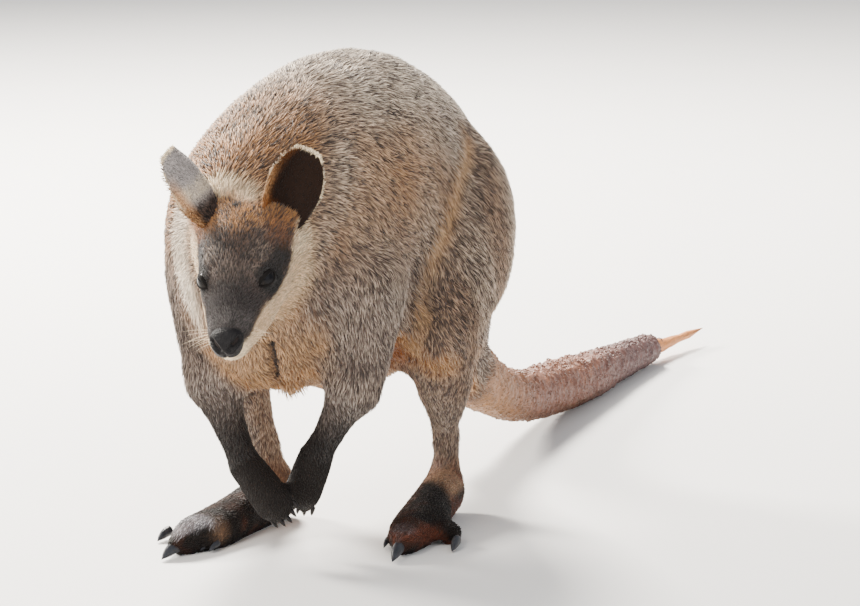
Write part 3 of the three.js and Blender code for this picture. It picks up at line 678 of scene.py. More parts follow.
class Finish:
    """A material built from nodes, round one Principled shader."""

    def __init__(self, name, roughness=0.6, **uniform):
        self.material = bpy.data.materials.new(name)
        self.material.use_nodes = True
        self.tree = self.material.node_tree
        self.shader = self.tree.nodes["Principled BSDF"]
        self.shader.inputs["Roughness"].default_value = roughness
        for socket, value in uniform.items():
            self.shader.inputs[socket.replace("_", " ")].default_value = value

    def node(self, kind, **settings):
        made = self.tree.nodes.new(kind)
        for key, value in settings.items():
            setattr(made, key, value)
        return made

    def link(self, output, target):
        self.tree.links.new(output, target)

    def attribute(self, name):
        return self.node("ShaderNodeAttribute", attribute_name=name)

    def noise(self, scale, detail=3.0, stretch=None):
        """Noise on Object coordinates, scale to the metre."""
        place = self.node("ShaderNodeTexCoord").outputs["Object"]
        if stretch:
            mapping = self.node("ShaderNodeMapping")
            mapping.inputs["Scale"].default_value = stretch
            self.link(place, mapping.inputs["Vector"])
            place = mapping.outputs["Vector"]
        made = self.node("ShaderNodeTexNoise")
        made.inputs["Scale"].default_value = scale
        made.inputs["Detail"].default_value = detail
        self.link(place, made.inputs["Vector"])
        return made.outputs["Fac"]

    def cells(self, scale):
        place = self.node("ShaderNodeTexCoord").outputs["Object"]
        made = self.node("ShaderNodeTexVoronoi", feature="SMOOTH_F1")
        made.inputs["Scale"].default_value = scale
        self.link(place, made.inputs["Vector"])
        return made.outputs["Distance"]

    def spread(self, value, low, high):
        """A value between 0 and 1 carried to between low and high."""
        made = self.node("ShaderNodeMapRange")
        made.inputs["To Min"].default_value = low
        made.inputs["To Max"].default_value = high
        self.link(value, made.inputs["Value"])
        return made.outputs["Result"]

    def times(self, a, b):
        made = self.node("ShaderNodeMath", operation="MULTIPLY")
        self.link(a, made.inputs[0])
        if isinstance(b, float):
            made.inputs[1].default_value = b
        else:
            self.link(b, made.inputs[1])
        return made.outputs[0]

    def tinted(self, base, value, low, high):
        """The base colour made darker and lighter by a value between 0 and 1."""
        made = self.node("ShaderNodeHueSaturation")
        self.link(base, made.inputs["Color"])
        self.link(self.spread(value, low, high), made.inputs["Value"])
        return made.outputs["Color"]

    def mixed(self, factor, a, b):
        made = self.node("ShaderNodeMix", data_type="RGBA")
        self.link(factor, made.inputs["Factor"])
        for socket, value in (("A", a), ("B", b)):
            target = [i for i in made.inputs if i.name == socket and i.type == "RGBA"][0]
            if isinstance(value, bpy.types.NodeSocket):
                self.link(value, target)
            else:
                target.default_value = (*value, 1)
        return [o for o in made.outputs if o.type == "RGBA"][0]

    def colour(self, output):
        self.link(output, self.shader.inputs["Base Color"])

    def roughness(self, output):
        self.link(output, self.shader.inputs["Roughness"])

    def bump(self, height, depth, strength=1.0):
        made = self.node("ShaderNodeBump")
        made.inputs["Strength"].default_value = strength
        made.inputs["Distance"].default_value = depth
        self.link(height, made.inputs["Height"])
        before = self.shader.inputs["Normal"].links
        if before:
            self.link(before[0].from_socket, made.inputs["Normal"])
        self.link(made.outputs["Normal"], self.shader.inputs["Normal"])


def hide_finish():
    """Under fur between the tufts, and warty bare skin where the attribute bare is 1."""
    f = Finish("hide", 0.8, Specular_IOR_Level=0.3)
    bare = f.attribute("bare").outputs["Fac"]
    blotch = f.noise(140, 5)
    fur = f.tinted(f.attribute("markings").outputs["Color"], f.noise(900, 4), 0.45, 1.25)
    skin = f.tinted(f.attribute("markings").outputs["Color"], blotch, 0.4, 1.6)
    f.colour(f.mixed(bare, fur, skin))
    f.roughness(f.spread(f.times(bare, f.noise(260, 3)), 0.85, 0.2))
    f.bump(f.times(f.noise(700, 4, (1, 0.35, 0.45)), 1.0), 0.9 * MM)
    f.bump(f.times(f.cells(240), bare), 1.6 * MM)
    f.bump(f.times(f.noise(700, 5), bare), 0.9 * MM)
    return f.material


def coat_finish(name, roughness=0.62, sheen=0.08):
    """Hair: its own colours, with a fine break in tone and gloss."""
    f = Finish(name, roughness, Specular_IOR_Level=0.3, Sheen_Weight=sheen, Sheen_Roughness=0.5)
    f.colour(f.tinted(f.attribute("hair").outputs["Color"], f.noise(260, 3), 0.84, 1.16))
    f.roughness(f.spread(f.noise(500, 2), roughness - 0.1, roughness + 0.12))
    f.bump(f.noise(1800, 2), 0.12 * MM)
    return f.material


def wart_finish():
    f = Finish("warts", 0.42, Specular_IOR_Level=0.45)
    f.colour(f.tinted(f.attribute("hair").outputs["Color"], f.noise(320, 4), 0.6, 1.4))
    f.roughness(f.spread(f.noise(420, 3), 0.3, 0.6))
    f.bump(f.noise(1100, 4), 0.3 * MM)
    return f.material


def ear_finish():
    f = Finish("ear", 0.7, Specular_IOR_Level=0.15)
    f.colour(f.tinted(f.attribute("hair").outputs["Color"], f.noise(420, 5), 0.6, 1.4))
    f.roughness(f.spread(f.noise(300, 3), 0.65, 0.85))
    f.bump(f.noise(650, 4), 0.4 * MM)
    return f.material


def nose_finish():
    c = paint()
    f = Finish("nose", 0.5, Specular_IOR_Level=0.2)
    f.colour(f.mixed(f.cells(900), tuple(v * 0.6 for v in c.nose), tuple(v * 1.6 for v in c.nose)))
    f.roughness(f.spread(f.noise(700, 3), 0.4, 0.66))
    f.bump(f.cells(1000), 0.7 * MM)
    return f.material


def claw_finish(name, horn):
    f = Finish(name, 0.38, Specular_IOR_Level=0.25)
    grain = f.noise(260, 5, (1.6, 0.35, 1.2))
    f.colour(f.mixed(grain, tuple(v * 0.35 for v in horn), tuple(v * 1.8 for v in horn)))
    f.roughness(f.spread(grain, 0.25, 0.5))
    f.bump(f.noise(1500, 3, (1.5, 0.25, 1.2)), 0.15 * MM)
    return f.material


def dried_finish():
    c = paint()
    f = Finish("dried_end", 0.55, Specular_IOR_Level=0.4)
    grain = f.noise(420, 5, (1.3, 0.22, 1.3))
    f.colour(f.mixed(grain, tuple(v * 0.42 for v in c.dried), tuple(min(v * 1.5, 1) for v in c.dried)))
    f.roughness(f.spread(grain, 0.42, 0.7))
    f.bump(grain, 0.8 * MM)
    return f.material


def eye_finish():
    """Black pupil, dark brown iris and a darker rim, under a wet clear coat."""
    c = paint()
    f = Finish("eye", 0.2, Specular_IOR_Level=0.12, Coat_Weight=0.03, Coat_Roughness=0.03)
    ring = f.node("ShaderNodeValToRGB")
    ring.color_ramp.elements[0].color = (0.002, 0.002, 0.003, 1)
    ring.color_ramp.elements[0].position = 0.24
    ring.color_ramp.elements[1].color = (*c.eye, 1)
    ring.color_ramp.elements[1].position = 0.32
    for position, lift in ((0.60, 1.5), (0.72, 0.25), (1.0, 0.6)):
        ring.color_ramp.elements.new(position).color = (*(v * lift for v in c.eye), 1)
    f.link(f.attribute("off_gaze").outputs["Fac"], ring.inputs["Fac"])
    f.colour(f.tinted(ring.outputs["Color"], f.noise(900, 4), 0.7, 1.3))
    return f.material


def lid_finish():
    c = paint()
    f = Finish("lid", 0.7, Specular_IOR_Level=0.12)
    f.colour(f.mixed(f.noise(600, 4), tuple(v * 0.3 for v in c.charcoal), tuple(v * 0.7 for v in c.charcoal)))
    f.roughness(f.spread(f.noise(800, 3), 0.6, 0.85))
    f.bump(f.noise(1400, 4), 0.25 * MM)
    return f.material


def floor_finish():
    c = paint()
    f = Finish("studio_floor", 0.7, Specular_IOR_Level=0.25)
    f.colour(f.mixed(f.noise(3, 4), tuple(v * 0.98 for v in c.floor), tuple(c.floor)))
    f.roughness(f.spread(f.noise(6, 4), 0.62, 0.78))
    return f.material


# ---- Meshes from arrays ----


def mesh_from(name, points, triangles, smooth=True):
    mesh = bpy.data.meshes.new(name)
    mesh.vertices.add(len(points))
    mesh.loops.add(triangles.size)
    mesh.polygons.add(len(triangles))
    mesh.vertices.foreach_set("co", np.ascontiguousarray(points, np.float32).ravel())
    mesh.loops.foreach_set("vertex_index", np.ascontiguousarray(triangles, np.int32).ravel())
    mesh.polygons.foreach_set("loop_start", np.arange(0, triangles.size, 3, dtype=np.int32))
    mesh.polygons.foreach_set("use_smooth", np.full(len(triangles), smooth))
    mesh.update(calc_edges=True)
    return mesh


def set_colours(mesh, name, colours):
    layer = mesh.color_attributes.new(name, "FLOAT_COLOR", "POINT")
    rgba = np.concatenate([np.clip(colours, 0, 1), np.ones((len(colours), 1))], axis=1)
    layer.data.foreach_set("color", np.ascontiguousarray(rgba, np.float32).ravel())


def set_values(mesh, name, values):
    layer = mesh.attributes.new(name, "FLOAT", "POINT")
    layer.data.foreach_set("value", np.ascontiguousarray(values, np.float32))


def placed(name, mesh, finish, slot, *nodes):
    """A finished piece on the one body, standing for its nodes. The slot is not used."""
    piece = bpy.data.objects.new(name, mesh)
    bpy.context.collection.objects.link(piece)
    mesh.materials.clear()
    mesh.materials.append(finish)
    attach(piece, "root")
    if nodes:
        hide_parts(*nodes)
    return piece


def rounded(work, levels):
    """The bmesh as a smooth mesh, by subdivision."""
    rough = bpy.data.meshes.new("rough")
    work.to_mesh(rough)
    work.free()
    holder = bpy.data.objects.new("rough", rough)
    bpy.context.collection.objects.link(holder)
    finer = holder.modifiers.new("finer", "SUBSURF")
    finer.levels = levels
    finer.render_levels = levels
    mesh = bpy.data.meshes.new_from_object(holder.evaluated_get(bpy.context.evaluated_depsgraph_get()))
    bpy.data.objects.remove(holder)
    bpy.data.meshes.remove(rough)
    mesh.polygons.foreach_set("use_smooth", np.ones(len(mesh.polygons), bool))
    return mesh


# ---- Tufts ----

# A tuft is a bent three-sided blade: its root, its middle and its tip, as (lie, height, side, ridge).
BLADE = np.array([
    (0.00, 0.00, -0.40, 0), (0.00, 0.00, 0.40, 0), (0.00, 0.00, 0.00, 1),
    (0.52, 0.66, -0.50, 0), (0.52, 0.66, 0.50, 0), (0.52, 0.66, 0.00, 1),
    (1.00, 1.00, 0.00, 0),
])
BLADE_FACES = np.array([
    (1, 0, 3), (1, 3, 4), (2, 1, 4), (2, 4, 5), (0, 2, 5), (0, 5, 3), (0, 1, 2), (4, 3, 6), (5, 4, 6), (3, 5, 6),
])
BLADE_TONE = np.array([0.15, 0.15, 0.15, 0.75, 0.75, 0.75, 1.0])  # from the root's colour to the tip's
BLADE_PATCH = np.array([(-1, -1), (1, -1), (0, -1), (-1, 0), (1, 0), (0, 0), (0, 1)]) * 0.0015
RIDGE = 0.32  # a blade's thickness against its width
MOST_TUFTS = 19900


def wart_form():
    """A low dome of two rings and a top, in the same terms as a blade."""
    turns = [2 * math.pi * i / 6 for i in range(6)]
    points = [(0.50 * math.cos(a), 0, 0.50 * math.sin(a), -0.8) for a in turns]
    points += [(0.40 * math.cos(a), 0, 0.40 * math.sin(a), 0.9) for a in turns] + [(0.04, 0, 0, 1.75)]
    faces = [(0, i + 1, i) for i in range(1, 5)]
    for i in range(6):
        j = (i + 1) % 6
        faces += [(i, j, 6 + j), (i, 6 + j, 6 + i), (6 + i, 6 + j, 12)]
    patch = [(0.0015 * math.cos(a), 0.0015 * math.sin(a)) for a in turns]
    patch += [(0.6 * u, 0.6 * v) for u, v in patch] + [(0, 0)]
    return np.array(points), np.array(faces), np.array([0.0] * 6 + [0.5] * 6 + [1.0]), np.array(patch)


TUFT = (BLADE, BLADE_FACES, BLADE_TONE, BLADE_PATCH)


class Ground:
    """A mesh that tufts grow from, with what they need at each vertex."""

    def __init__(self, mesh, **fields):
        self.mesh = mesh
        self.points = points_of(mesh)
        self.normals = normals_of(mesh)
        self.corners, self.loops = corners_of(mesh)
        self.fields = fields
        across = self.points[self.corners[:, 2]] - self.points[self.corners[:, 0]]
        along = self.points[self.corners[:, 3]] - self.points[self.corners[:, 1]]
        self.areas = np.linalg.norm(np.cross(across, along), axis=1) / 2 / MM**2
        self.middles = self.points[self.corners].mean(axis=1)

    def on_faces(self, values):
        return values[self.corners].mean(axis=1)

    def unwrapped(self, faces):
        """The corners' places on an unwrap of these faces alone."""
        work = bmesh.new()
        work.from_mesh(self.mesh)
        keep = set(faces.tolist())
        bmesh.ops.delete(work, geom=[f for f in work.faces if f.index not in keep], context="FACES")
        part = bpy.data.meshes.new("unwrap")
        work.to_mesh(part)
        work.free()
        holder = bpy.data.objects.new("unwrap", part)
        bpy.context.collection.objects.link(holder)
        bpy.ops.object.select_all(action="DESELECT")
        bpy.context.view_layer.objects.active = holder
        holder.select_set(True)
        bpy.ops.object.mode_set(mode="EDIT")
        bpy.ops.mesh.select_all(action="SELECT")
        bpy.ops.uv.smart_project(angle_limit=math.radians(66), island_margin=0.003)
        bpy.ops.object.mode_set(mode="OBJECT")
        flat = read(part.uv_layers.active.data, "uv", 2)
        places = flat[corners_of(part)[1]]
        bpy.data.objects.remove(holder)
        bpy.data.meshes.remove(part)
        return places

    def scattered(self, faces, chance):
        """Roots spread evenly over the faces: each root's face and its weights on the corners."""
        wanted = self.on_faces(self.fields["density"])[faces] * self.areas[faces]
        number = np.floor(wanted + chance.random(len(faces))).astype(int)
        face = np.repeat(np.arange(len(faces)), number)
        s, t = chance.random((2, len(face)))
        return face, np.stack([(1 - s) * (1 - t), s * (1 - t), s * t, (1 - s) * t], axis=1)

    def grow(self, name, faces, seed, form=TUFT):
        """The tufts of these faces as one mesh, with their colours and patches."""
        shape, shape_faces, tone, patch = form
        chance = np.random.default_rng(seed)
        places = self.unwrapped(faces)
        face, weights = self.scattered(faces, chance)
        if not 0 < len(face) <= MOST_TUFTS:
            raise RuntimeError(f"{name} would have {len(face)} tufts")
        corners = self.corners[faces[face]]

        def at_root(values):
            if values.ndim == 1:
                return (values[corners] * weights).sum(axis=1)
            return (values[corners] * weights[:, :, None]).sum(axis=1)

        root, normal, lie = at_root(self.points), unit(at_root(self.normals)), at_root(self.fields["lie"])
        count = len(root)
        swing = np.radians(self.wave(root) * 16 + chance.normal(0, 11, count))[:, None]
        lie = unit(lie - normal * (lie * normal).sum(axis=1)[:, None])
        side = np.cross(lie, normal)
        lie = unit(lie * np.cos(swing) + side * np.sin(swing))
        side = np.cross(lie, normal)
        reach = at_root(self.fields["length"]) * MM * chance.uniform(0.72, 1.28, count)
        width = at_root(self.fields["width"]) * MM * chance.uniform(0.75, 1.3, count)
        lift = np.radians(at_root(self.fields["lift"]) * chance.uniform(0.55, 1.45, count))
        blade = shape[None]
        points = (
            root[:, None]
            + lie[:, None] * (blade[..., 0] * (reach * np.cos(lift))[:, None])[..., None]
            + normal[:, None] * (blade[..., 1] * (reach * np.sin(lift))[:, None])[..., None]
            + side[:, None] * (blade[..., 2] * width[:, None])[..., None]
            + normal[:, None] * ((blade[..., 3] * RIDGE - 0.12) * width[:, None])[..., None]
        )
        points[..., 2] = np.maximum(points[..., 2], 0.2 * MM)
        triangles = shape_faces[None] + (np.arange(count) * len(shape))[:, None, None]
        mesh = mesh_from(name, points.reshape(-1, 3), triangles.reshape(-1, 3))

        base, tip, dark = at_root(self.fields["root"]), at_root(self.fields["tip"]), at_root(self.fields["dark"])
        clump = 0.5 + 0.42 * mottle(root / MM, 5.5, 23)
        guard = ramp(dark + 0.1 - (0.3 * clump + 0.7 * chance.random(count)), 0, 0.3)[:, None]
        deep = np.minimum(base, np.array(paint().guard))
        tip = (tip + guard * (deep - tip)) * chance.uniform(0.42, 1.42, (count, 1))
        base = base * chance.uniform(0.5, 1.1, (count, 1))
        shades = base[:, None] + tone[None, :, None] * (tip - base)[:, None]
        set_colours(mesh, "hair", shades.reshape(-1, 3))

        uv = (places[face] * weights[:, :, None]).sum(axis=1)
        patches = np.clip(uv[:, None] + patch[None], 0, 1).reshape(-1, 2)
        layer = mesh.uv_layers.new(name="OFBake")
        layer.data.foreach_set("uv", np.ascontiguousarray(patches[triangles.ravel()], np.float32).ravel())
        return mesh

    def wave(self, roots):
        return mottle(roots / MM, 26, 21)


# ---- Operators ----

made = {}  # what one operator leaves for the next: the skin's ground


def skin_mesh():
    """One smooth skin under all the flesh, at the coat's depth."""
    surface = one_surface(joined_solids())
    finder = part_finder()
    mesh = surface.copy()
    edges = edges_of(mesh)
    share = shares_of(mesh, finder, 8)
    moved(mesh, eased(points_of(mesh), edges, 60, by_kind(share, SMOOTH)))
    depth = by_kind(share, DEPTH) * MM
    sunk(mesh, surface, depth, 10)
    sunk(mesh, surface, depth, 6)
    fine = share_of(share, "head", "hand", "foot", "tail") > 0.5
    refined(mesh, fine)
    local = in_head(points_of(mesh))
    near_eye = np.minimum(*(np.linalg.norm(local - (s * EYE_OUT, EYE_FORWARD, EYE_UP), axis=1) for s in (1, -1)))
    share = shares_of(mesh, finder, 3)
    refined(mesh, (share_of(share, "head") > 0.5) & ((near_eye < 22) | (local[:, 1] > 104)))
    share = shares_of(mesh, finder, 10)
    edges = edges_of(mesh)
    moved(mesh, eased(points_of(mesh), edges, 3, 0.4))
    head = share_of(share, "head")
    moved(mesh, carved_head(points_of(mesh), normals_of(mesh), head))
    near_opening = [1 - ramp(in_opening(points_of(mesh), side, 0.8), 1.2, 1.6) for side in SIDES]
    moved(mesh, eased(points_of(mesh), edges, 2, 0.3 * (1 - np.maximum(*near_opening))))
    bare = bare_share(points_of(mesh), share)
    moved(mesh, rough_tail(points_of(mesh), normals_of(mesh), bare))
    points = points_of(mesh)
    fold = chest_fold(points, 1.5, 5)
    points -= normals_of(mesh) * (fold * 7 * MM)[:, None]
    for s in (1, -1):
        for line, behind, deep in ((THIGH_EDGE, 15, 3.5), (ARM_CREASE, 0, 2.5)):
            crease = stripe(on_body(points), [(s * a, b + behind, d) for a, b, d in line], 6, 12)
            points -= normals_of(mesh) * (crease * deep * MM)[:, None]
    low = (points[:, 2] < 3.2 * MM) & (share_of(share, "foot") > 0.4)
    points[:, 2] = np.where(low, 0.25 * MM, np.maximum(points[:, 2], 0.25 * MM))
    moved(mesh, points)
    bpy.data.meshes.remove(surface)
    return mesh, share


def coat_fields(mesh, share):
    """Everything the tufts need, at each vertex of the skin."""
    sizes = coat_sizes()
    points, normals, edges = points_of(mesh), normals_of(mesh), edges_of(mesh)
    local = in_head(points)
    _, forward, up = local.T
    marks = markings(points, normals, share)
    body, face = sizes.body_hair / MM, sizes.face_hair / MM
    crown, foot = sizes.head_hair / MM, sizes.foot_hair / MM
    lengths = {"head": crown, "neck": body, "trunk": body, "thigh": body, "shank": body * 0.72, "foot": foot,
               "upper_arm": body * 0.92, "forearm": body * 0.6, "hand": foot * 0.7, "tail": body * 0.4}
    widths = {"head": 0.68, "neck": 0.86, "trunk": 0.88, "thigh": 0.86, "shank": 0.8, "foot": 0.75,
              "upper_arm": 0.86, "forearm": 0.78, "hand": 0.66, "tail": 0.85}
    lifts = {"head": 11, "neck": 12, "trunk": 12, "thigh": 12, "shank": 10, "foot": 8,
             "upper_arm": 12, "forearm": 9, "hand": 6, "tail": 9}
    density = {"head": 0.84, "neck": 0.3, "trunk": 0.26, "thigh": 0.27, "shank": 0.32, "foot": 0.27,
               "upper_arm": 0.3, "forearm": 0.36, "hand": 0.5, "tail": 0.3}
    head = share_of(share, "head")
    muzzle = head * ramp(forward, 56, 116)
    reach = by_kind(share, lengths) * (1 - muzzle) + face * muzzle
    wide = by_kind(share, widths) * (1 - 0.42 * muzzle)
    grown = by_kind(share, density) * (1 + 0.55 * muzzle) * sizes.thickness
    for side in SIDES:
        opening = in_opening(points, side, 0)
        around = 1 - ramp(opening, 1.3, 4.0)
        reach = reach * (1 - 0.72 * around * head)
        grown = np.where((opening < 1.55) & (head > 0.5), 0, grown)
    brow = spot(local, (24, 66, 18), 8, 8)
    reach = reach * (1 - 0.45 * brow * head)
    for ear in EARS.values():
        reach = reach * (1 + 0.7 * head * spot(local, ear["root"], 11, 10))
    mm = on_body(points)
    reach = reach * (1 - 0.7 * chest_fold(points, 3.5, 4))
    lock = spot(mm, CHEST_LOCK, 6, 12)
    lift = by_kind(share, lifts) + 16 * lock
    reach = reach * (1 + 1.1 * lock)
    nose_gap = np.linalg.norm(local - (0, 140, -9), axis=1)
    grown = np.where((nose_gap < 13) & (forward > 131), 0, grown)
    bare = bare_share(points, share)
    grown = grown * (1 - ramp(bare, 0.3, 0.9))
    grown = np.where((points[:, 2] < 3 * MM) & (normals[:, 2] < -0.4), 0, grown)
    return dict(length=reach, width=wide, lift=lift, density=grown,
                lie=lie_field(points, normals, share, edges), root=marks.root, tip=marks.tip, dark=marks.dark)


class WALLABY_OT_skin(bpy.types.Operator):
    """One skin over all the flesh: folds, eye sockets, mouth, soles and the warty bare tail"""

    bl_idname = "wallaby.skin"
    bl_label = "Skin"

    def execute(self, context):
        mesh, share = skin_mesh()
        fields = coat_fields(mesh, share)
        dark = fields["dark"][:, None]
        guard = np.minimum(fields["root"], np.array(paint().guard))
        tone = 0.55 * fields["root"] + 0.45 * (dark * guard + (1 - dark) * fields["tip"])
        set_colours(mesh, "markings", tone)
        set_values(mesh, "bare", bare_share(points_of(mesh), share))
        mesh.polygons.foreach_set("use_smooth", np.ones(len(mesh.polygons), bool))
        flesh = [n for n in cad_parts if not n.startswith(("claw", "ear", "eye", "nose", "tail_end"))]
        placed("skin", mesh, hide_finish(), "coat", *flesh)
        made["share"] = share
        made["ground"] = Ground(mesh, **fields)
        return {"FINISHED"}


def coat_parts(ground, share):
    """The faces of each piece of coat, by name."""
    kind = np.argmax(ground.on_faces(share), axis=1)
    middles = on_body(ground.middles)
    forward = in_head(ground.middles)[:, 1]
    left = middles[:, 0] > 0
    names = np.array(KINDS)[kind].astype(object)
    side = np.where(left, "_left", "_right").astype(object)
    third = np.select([middles[:, 1] < -340, middles[:, 1] < -210], ["shoulder", "flank"], "rump").astype(object)
    part = names.copy()
    part = np.where(names == "head", np.where(forward > 66, "face", "crown"), part)
    part = np.where(names == "trunk", third + side, part)
    part = np.where(names == "thigh", "haunch" + side, part)
    part = np.where((names == "upper_arm") | (names == "forearm"), "arm" + side, part)
    part = np.where(names == "tail", "tail_root", part)
    part = np.where(names == "neck", "neck" + side, part)
    return {name: np.flatnonzero(part == name) for name in sorted(set(part))}


class WALLABY_OT_coat(bpy.types.Operator):
    """Tufts over the whole skin, lying from nose to tail and down the limbs"""

    bl_idname = "wallaby.coat"
    bl_label = "Coat"

    def execute(self, context):
        if "ground" not in made:
            raise RuntimeError("the coat needs the skin first")
        ground = made["ground"]
        finishes = {"coat": coat_finish("coat"), "dark_coat": coat_finish("dark_coat", 0.5, 0.0)}
        total = 0
        for turn, (name, faces) in enumerate(coat_parts(ground, made["share"]).items()):
            mesh = ground.grow(f"coat_{name}", faces, coat_sizes().seed + turn)
            slot = "dark_coat" if name in ("foot", "hand") else "coat"
            placed(f"coat_{name}", mesh, finishes[slot], slot)
            total += len(mesh.polygons)
            print("coat", name, len(mesh.polygons))
        print("coat in all", total)
        return {"FINISHED"}


class WALLABY_OT_tail(bpy.types.Operator):
    """Shiny warts all over the tail's bare skin"""

    bl_idname = "wallaby.tail"
    bl_label = "Tail's warts"

    def execute(self, context):
        if "ground" not in made:
            raise RuntimeError("the warts need the skin first")
        skin = made["ground"]
        bare = bare_share(skin.points, made["share"])
        marks = markings(skin.points, skin.normals, made["share"])
        crest = ramp(skin.normals[:, 2], 0.3, 0.9)
        count = len(skin.points)
        fields = dict(length=2.6 + 1.0 * crest, width=1.9 + 0.5 * crest, lift=np.zeros(count),
                      density=0.055 * ramp(bare, 0.6, 1.0) * ramp(mottle(skin.points / MM, 22, 51), -1.2, 0.2),
                      lie=skin.fields["lie"], root=marks.root * 0.75, tip=marks.tip * 1.2, dark=np.full(count, -1.0))
        ground = Ground(skin.mesh, **fields)
        faces = np.flatnonzero(ground.on_faces(bare) > 0.6)
        mesh = ground.grow("tail_warts", faces, coat_sizes().seed + 90, wart_form())
        placed("tail_warts", mesh, wart_finish(), "tail_skin")
        return {"FINISHED"}


def ear_ground(side, mesh):
    """Colours, lengths and lie of the hair on one ear."""
    c = paint()
    root, along, facing, front_edge = (np.array(v) for v in ear_axes(side))
    points, normals = points_of(mesh), normals_of(mesh)
    local = (points - root) / MM
    up, ahead = local @ along, local @ front_edge
    inside = ramp(normals @ facing, -0.1, 0.25)
    widest = np.interp(up, [0, 14, 28, 36, 44, 54, 62, 68, 71], [13.5, 20, 24, 24.5, 23.8, 21, 16.7, 10.8, 4.8])
    rim = ramp(np.abs(ahead) / widest, 0.88, 1.0)
    rim = np.maximum(rim, ramp(up, EAR_LENGTH - 4, EAR_LENGTH))
    blotch = mottle(points / MM, 14, 31)
    marks = Marks(len(points))
    marks.lay(np.ones(len(points)), root=tuple(v * 0.6 for v in c.ear_back), tip=c.ear_back, dark=0.15)
    marks.lay((1 - inside) * (1 - ramp(up, 14, 28)), root=c.charcoal, tip=c.under, dark=0.6)
    marks.lay((1 - inside) * ramp(up, 22, 30) * (1 - ramp(up, 34, 44)) * (0.7 + 0.3 * blotch), tip=c.cream, dark=0.05)
    marks.lay(inside, root=c.ear_inside, tip=c.ear_inside, dark=0.3)
    marks.lay(0.6 * inside * ramp(ahead / widest, 0.45, 0.95), root=c.ear_inside, tip=c.rufous, dark=0.2)
    marks.lay(0.8 * ramp(ahead / widest, 0.62, 0.9) * (1 - ramp(up, 34, 58)), root=c.rufous, tip=c.buff, dark=0.2)
    marks.lay(0.7 * inside * (1 - ramp(up, 14, 24)) * ramp(ahead, -4, 10), root=c.rufous, tip=c.rufous, dark=0.3)
    marks.lay(rim * ramp(up, 18, 34) * ramp(rim, 0.6, 1), root=c.cream, tip=c.cream, dark=0)
    lie = np.tile(along, (len(points), 1)) + front_edge * (0.8 * ahead / widest)[:, None]
    wide = np.full(len(points), 0.6)
    reach = 2.2 + 0.3 * rim + 3.0 * (1 - ramp(up, 8, 26)) * (1 - inside) + 1.6 * inside * ramp(ahead, 6, 18)
    grown = 0.62 - 0.5 * inside * (1 - ramp(ahead / widest, 0.2, 0.7)) + 0.7 * rim
    lift = np.where(inside > 0.5, 12, 10) + 12 * rim
    fields = dict(length=reach, width=wide, lift=lift, density=grown, lie=lie,
                  root=marks.root, tip=marks.tip, dark=marks.dark)
    return Ground(mesh, **fields), marks


class WALLABY_OT_ears(bpy.types.Operator):
    """Two thin cupped ears with a furred back, a dark inside and a pale fringe"""

    bl_idname = "wallaby.ears"
    bl_label = "Ears"

    def execute(self, context):
        finish, hair = ear_finish(), coat_finish("ear_hair", 0.7, 0.0)
        for turn, side in enumerate(SIDES):
            work = merged_copy(f"ear_{side}")
            bmesh.ops.recalc_face_normals(work, faces=work.faces)
            mesh = rounded(work, 2)
            points = points_of(mesh)
            ripple = mottle(points / MM, 11, 33) * 0.35
            root, along, _, front_edge = (np.array(v) for v in ear_axes(side))
            up, ahead = (points - root) @ along / MM, (points - root) @ front_edge / MM
            dome = 5.0 * ramp(up, 0.8 * EAR_LENGTH, 0.96 * EAR_LENGTH) * np.maximum(1 - (ahead / 15) ** 2, -0.6)
            moved(mesh, points + normals_of(mesh) * (ripple * MM)[:, None] + along * (dome * MM)[:, None])
            ground, marks = ear_ground(side, mesh)
            set_colours(mesh, "hair", 0.6 * marks.root + 0.4 * marks.tip)
            placed(f"ear_leaf_{side}", mesh, finish, "ear", f"ear_{side}")
            coat = ground.grow(f"coat_ear_{side}", np.arange(len(ground.areas)), 300 + turn)
            placed(f"coat_ear_{side}", coat, hair, "ear")
            print("ear", side, len(coat.polygons))
        return {"FINISHED"}


def turned_to(out, corner):
    """A turn that carries Z to out and X to corner."""
    side = out.cross(corner)
    return Matrix((corner, side, out)).transposed()


def eyeball(side):
    """A ball with a low cornea, its pole along the gaze."""
    middle, out, corner, _ = eye_axes(side)
    ball = bmesh.new()
    bmesh.ops.create_uvsphere(ball, u_segments=48, v_segments=32, radius=EYE_RADIUS * MM)
    for vert in ball.verts:
        off = vert.co.normalized().z
        vert.co *= 1 + 0.035 * max(0.0, min(1.0, (off - 0.72) / 0.2))
    turn = turned_to(out, corner)
    bmesh.ops.transform(ball, matrix=Matrix.Translation(middle) @ turn.to_4x4(), verts=ball.verts)
    mesh = bpy.data.meshes.new(f"eyeball_{side}")
    ball.to_mesh(mesh)
    ball.free()
    mesh.polygons.foreach_set("use_smooth", np.ones(len(mesh.polygons), bool))
    facing = unit(points_of(mesh) - np.array(middle)) @ np.array(out)
    set_values(mesh, "off_gaze", np.arccos(np.clip(facing, -1, 1)) / (math.pi / 2))
    return mesh


# A lid's section from the eye outwards: how far from the opening's edge, and how high over the ball.
LID_SECTION = ((0.3, -1.6), (0.0, 0.25), (0.35, 0.95), (1.1, 1.15), (2.2, 0.95), (3.8, 0.2), (5.5, -1.5), (7.0, -4.0))


